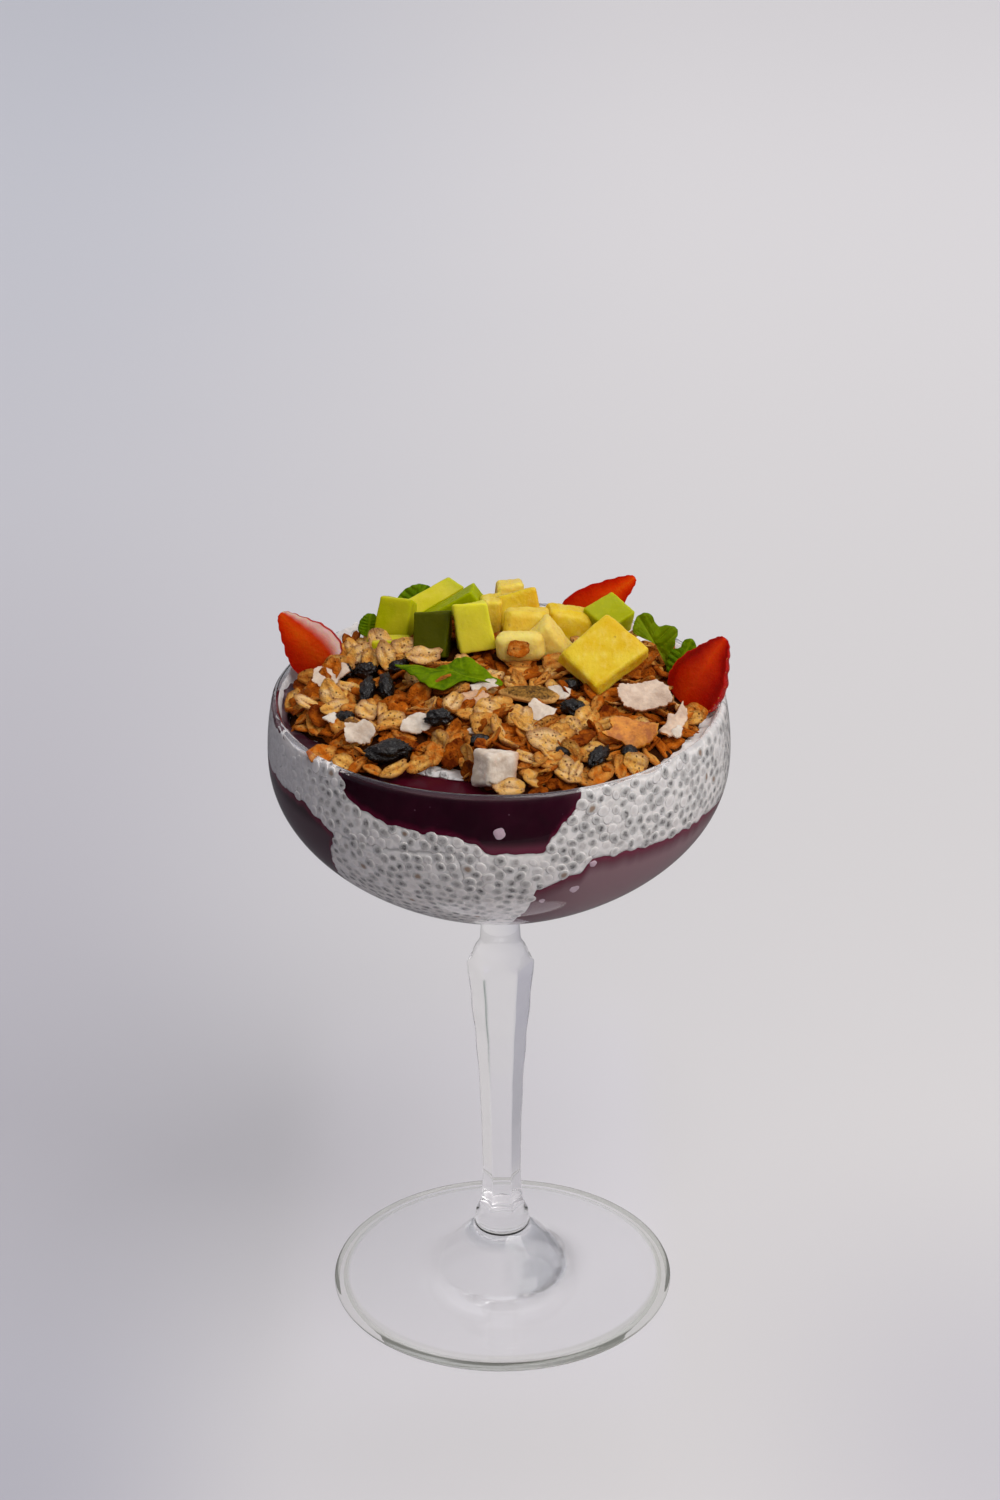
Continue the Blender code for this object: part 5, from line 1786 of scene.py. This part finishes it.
def makeCamera():
    data = bpy.data.cameras.new("camera")
    data.sensor_fit = "AUTO"
    data.sensor_width = 36.0
    data.lens = view["focal"] * data.sensor_width / view["long"]
    data.clip_start = 0.01
    camera = bpy.data.objects.new("camera", data)
    turn = (Matrix.Rotation(math.radians(90 - view["pitch"]), 4, "X")
            @ Matrix.Rotation(math.radians(view["roll"]), 4, "Z"))
    camera.location = view["place"]
    camera.rotation_euler = turn.to_euler()
    bpy.context.scene.collection.objects.link(camera)
    bpy.context.scene.camera = camera


def makeFloor():
    material, paint = startLook("pale floor")
    speck = paint.cloud(0.3, 3.0)
    across, depth, _ = paint.place().parts()
    leftward = -1.0 * across
    # painted light: lighter to the right and further back
    right = (across + speck * 0.05 - 0.025).step(-0.20, 0.10)
    near = right.mix(tint(212, 210, 215), tint(228, 225, 224))
    distant = right.mix(tint(224, 225, 232), tint(249, 246, 246))
    even = depth.step(0.18, 0.90).mix(near, distant)
    # painted shade: dimmer to the left of the cup, at both near corners and most at the near
    # left
    left = leftward.step(0.04, 0.15) * depth.fade(0.15, 0.50)
    corner = across.step(0.03, 0.11) * depth.fade(-0.07, 0.08) * 0.8
    dimmer = (left.most(corner) * 0.8).mix(even, tint(201, 198, 205))
    nearLeft = leftward.step(0.04, 0.11) * depth.fade(-0.08, 0.06) * 0.8
    dimmest = nearLeft.mix(dimmer, tint(186, 185, 194))
    # painted light: a little lighter under the cup and just behind it
    middle = across.fade(0.028, 0.044) * leftward.fade(0.034, 0.058)
    middle = middle * depth.band(-0.07, -0.02, 0.085, 0.15)
    finishLook(material, middle.mix(dimmest, tint(228, 225, 228)), 0.6, None, 0.3)
    # mirrored in the glass, the floor ends in front of the cup and is dark beyond; glossy rays
    # also see it mostly dark, a painted dark reflection
    ends = leftward.step(0.10, 0.32) * 0.24 - 0.382
    beyond = (ends - depth).step(-0.01, 0.01)
    mirrored = 1.0 - paint.ray("Camera").most(paint.ray("Transmission"))
    dark = paint.node("BsdfDiffuse", None, {"Color": tint(26, 22, 26)})
    coverLook(material, beyond.most(paint.ray("Glossy") * 0.8) * mirrored, dark)
    half = 4000.0
    corners = [(-half, -half, 0), (half, -half, 0), (half, half, 0), (-half, half, 0)]
    makePiece("floor", (corners, [(0, 1, 2, 3)]), material)


def addLamp(name, place, aim, size, power, colour):
    data = bpy.data.lights.new(name, "AREA")
    data.shape = "RECTANGLE"
    data.size, data.size_y = size
    data.energy = power
    data.color = colour
    lamp = bpy.data.objects.new(name, data)
    lamp.location = place
    lamp.rotation_euler = (Vector(aim) - Vector(place)).to_track_quat("-Z", "Y").to_euler()
    bpy.context.scene.collection.objects.link(lamp)


def makeStudio():
    # pale above and behind, darker in front of the cup
    world = bpy.data.worlds.new("studio")
    world.use_nodes = True
    back = world.node_tree.nodes["Background"]
    paint = Paint(world.node_tree)
    across, depth, height = paint.node("TexCoord", output=0).parts()
    side = across.step(-0.9, 0.9).mix(light["left"], light["right"])
    behind = depth.step(-0.1, 0.7).mix(side, light["behind"])
    sky = height.step(-0.1, 0.9).mix(behind, light["above"])
    # only mirrors see that it is dark low down in front
    bright = height.step(0.05, 0.6).most(paint.ray("Transmission"))
    ahead = bright.mix(light["low"], light["front"])
    colour = (-1.0 * depth).step(0.2, 0.8).mix(sky, ahead)
    world.node_tree.links.new(colour.socket, back.inputs["Color"])
    back.inputs["Strength"].default_value = light["studio"]
    bpy.context.scene.world = world


def makeLight():
    aim = (0.0, 0.0, 0.12)
    addLamp("keyPanel", (0.95, -0.88, 1.85), aim, (1.7, 1.7), light["key"],
            (1.0, 0.985, 0.96))
    addLamp("backPanel", (0.1, 0.8, 1.8), aim, (1.6, 1.2), light["back"], (0.97, 0.98, 1.0))
    makeStudio()


makeCamera()
makeFloor()
makeLight()
bpy.context.scene.view_settings.view_transform = "Standard"
print("stage set")
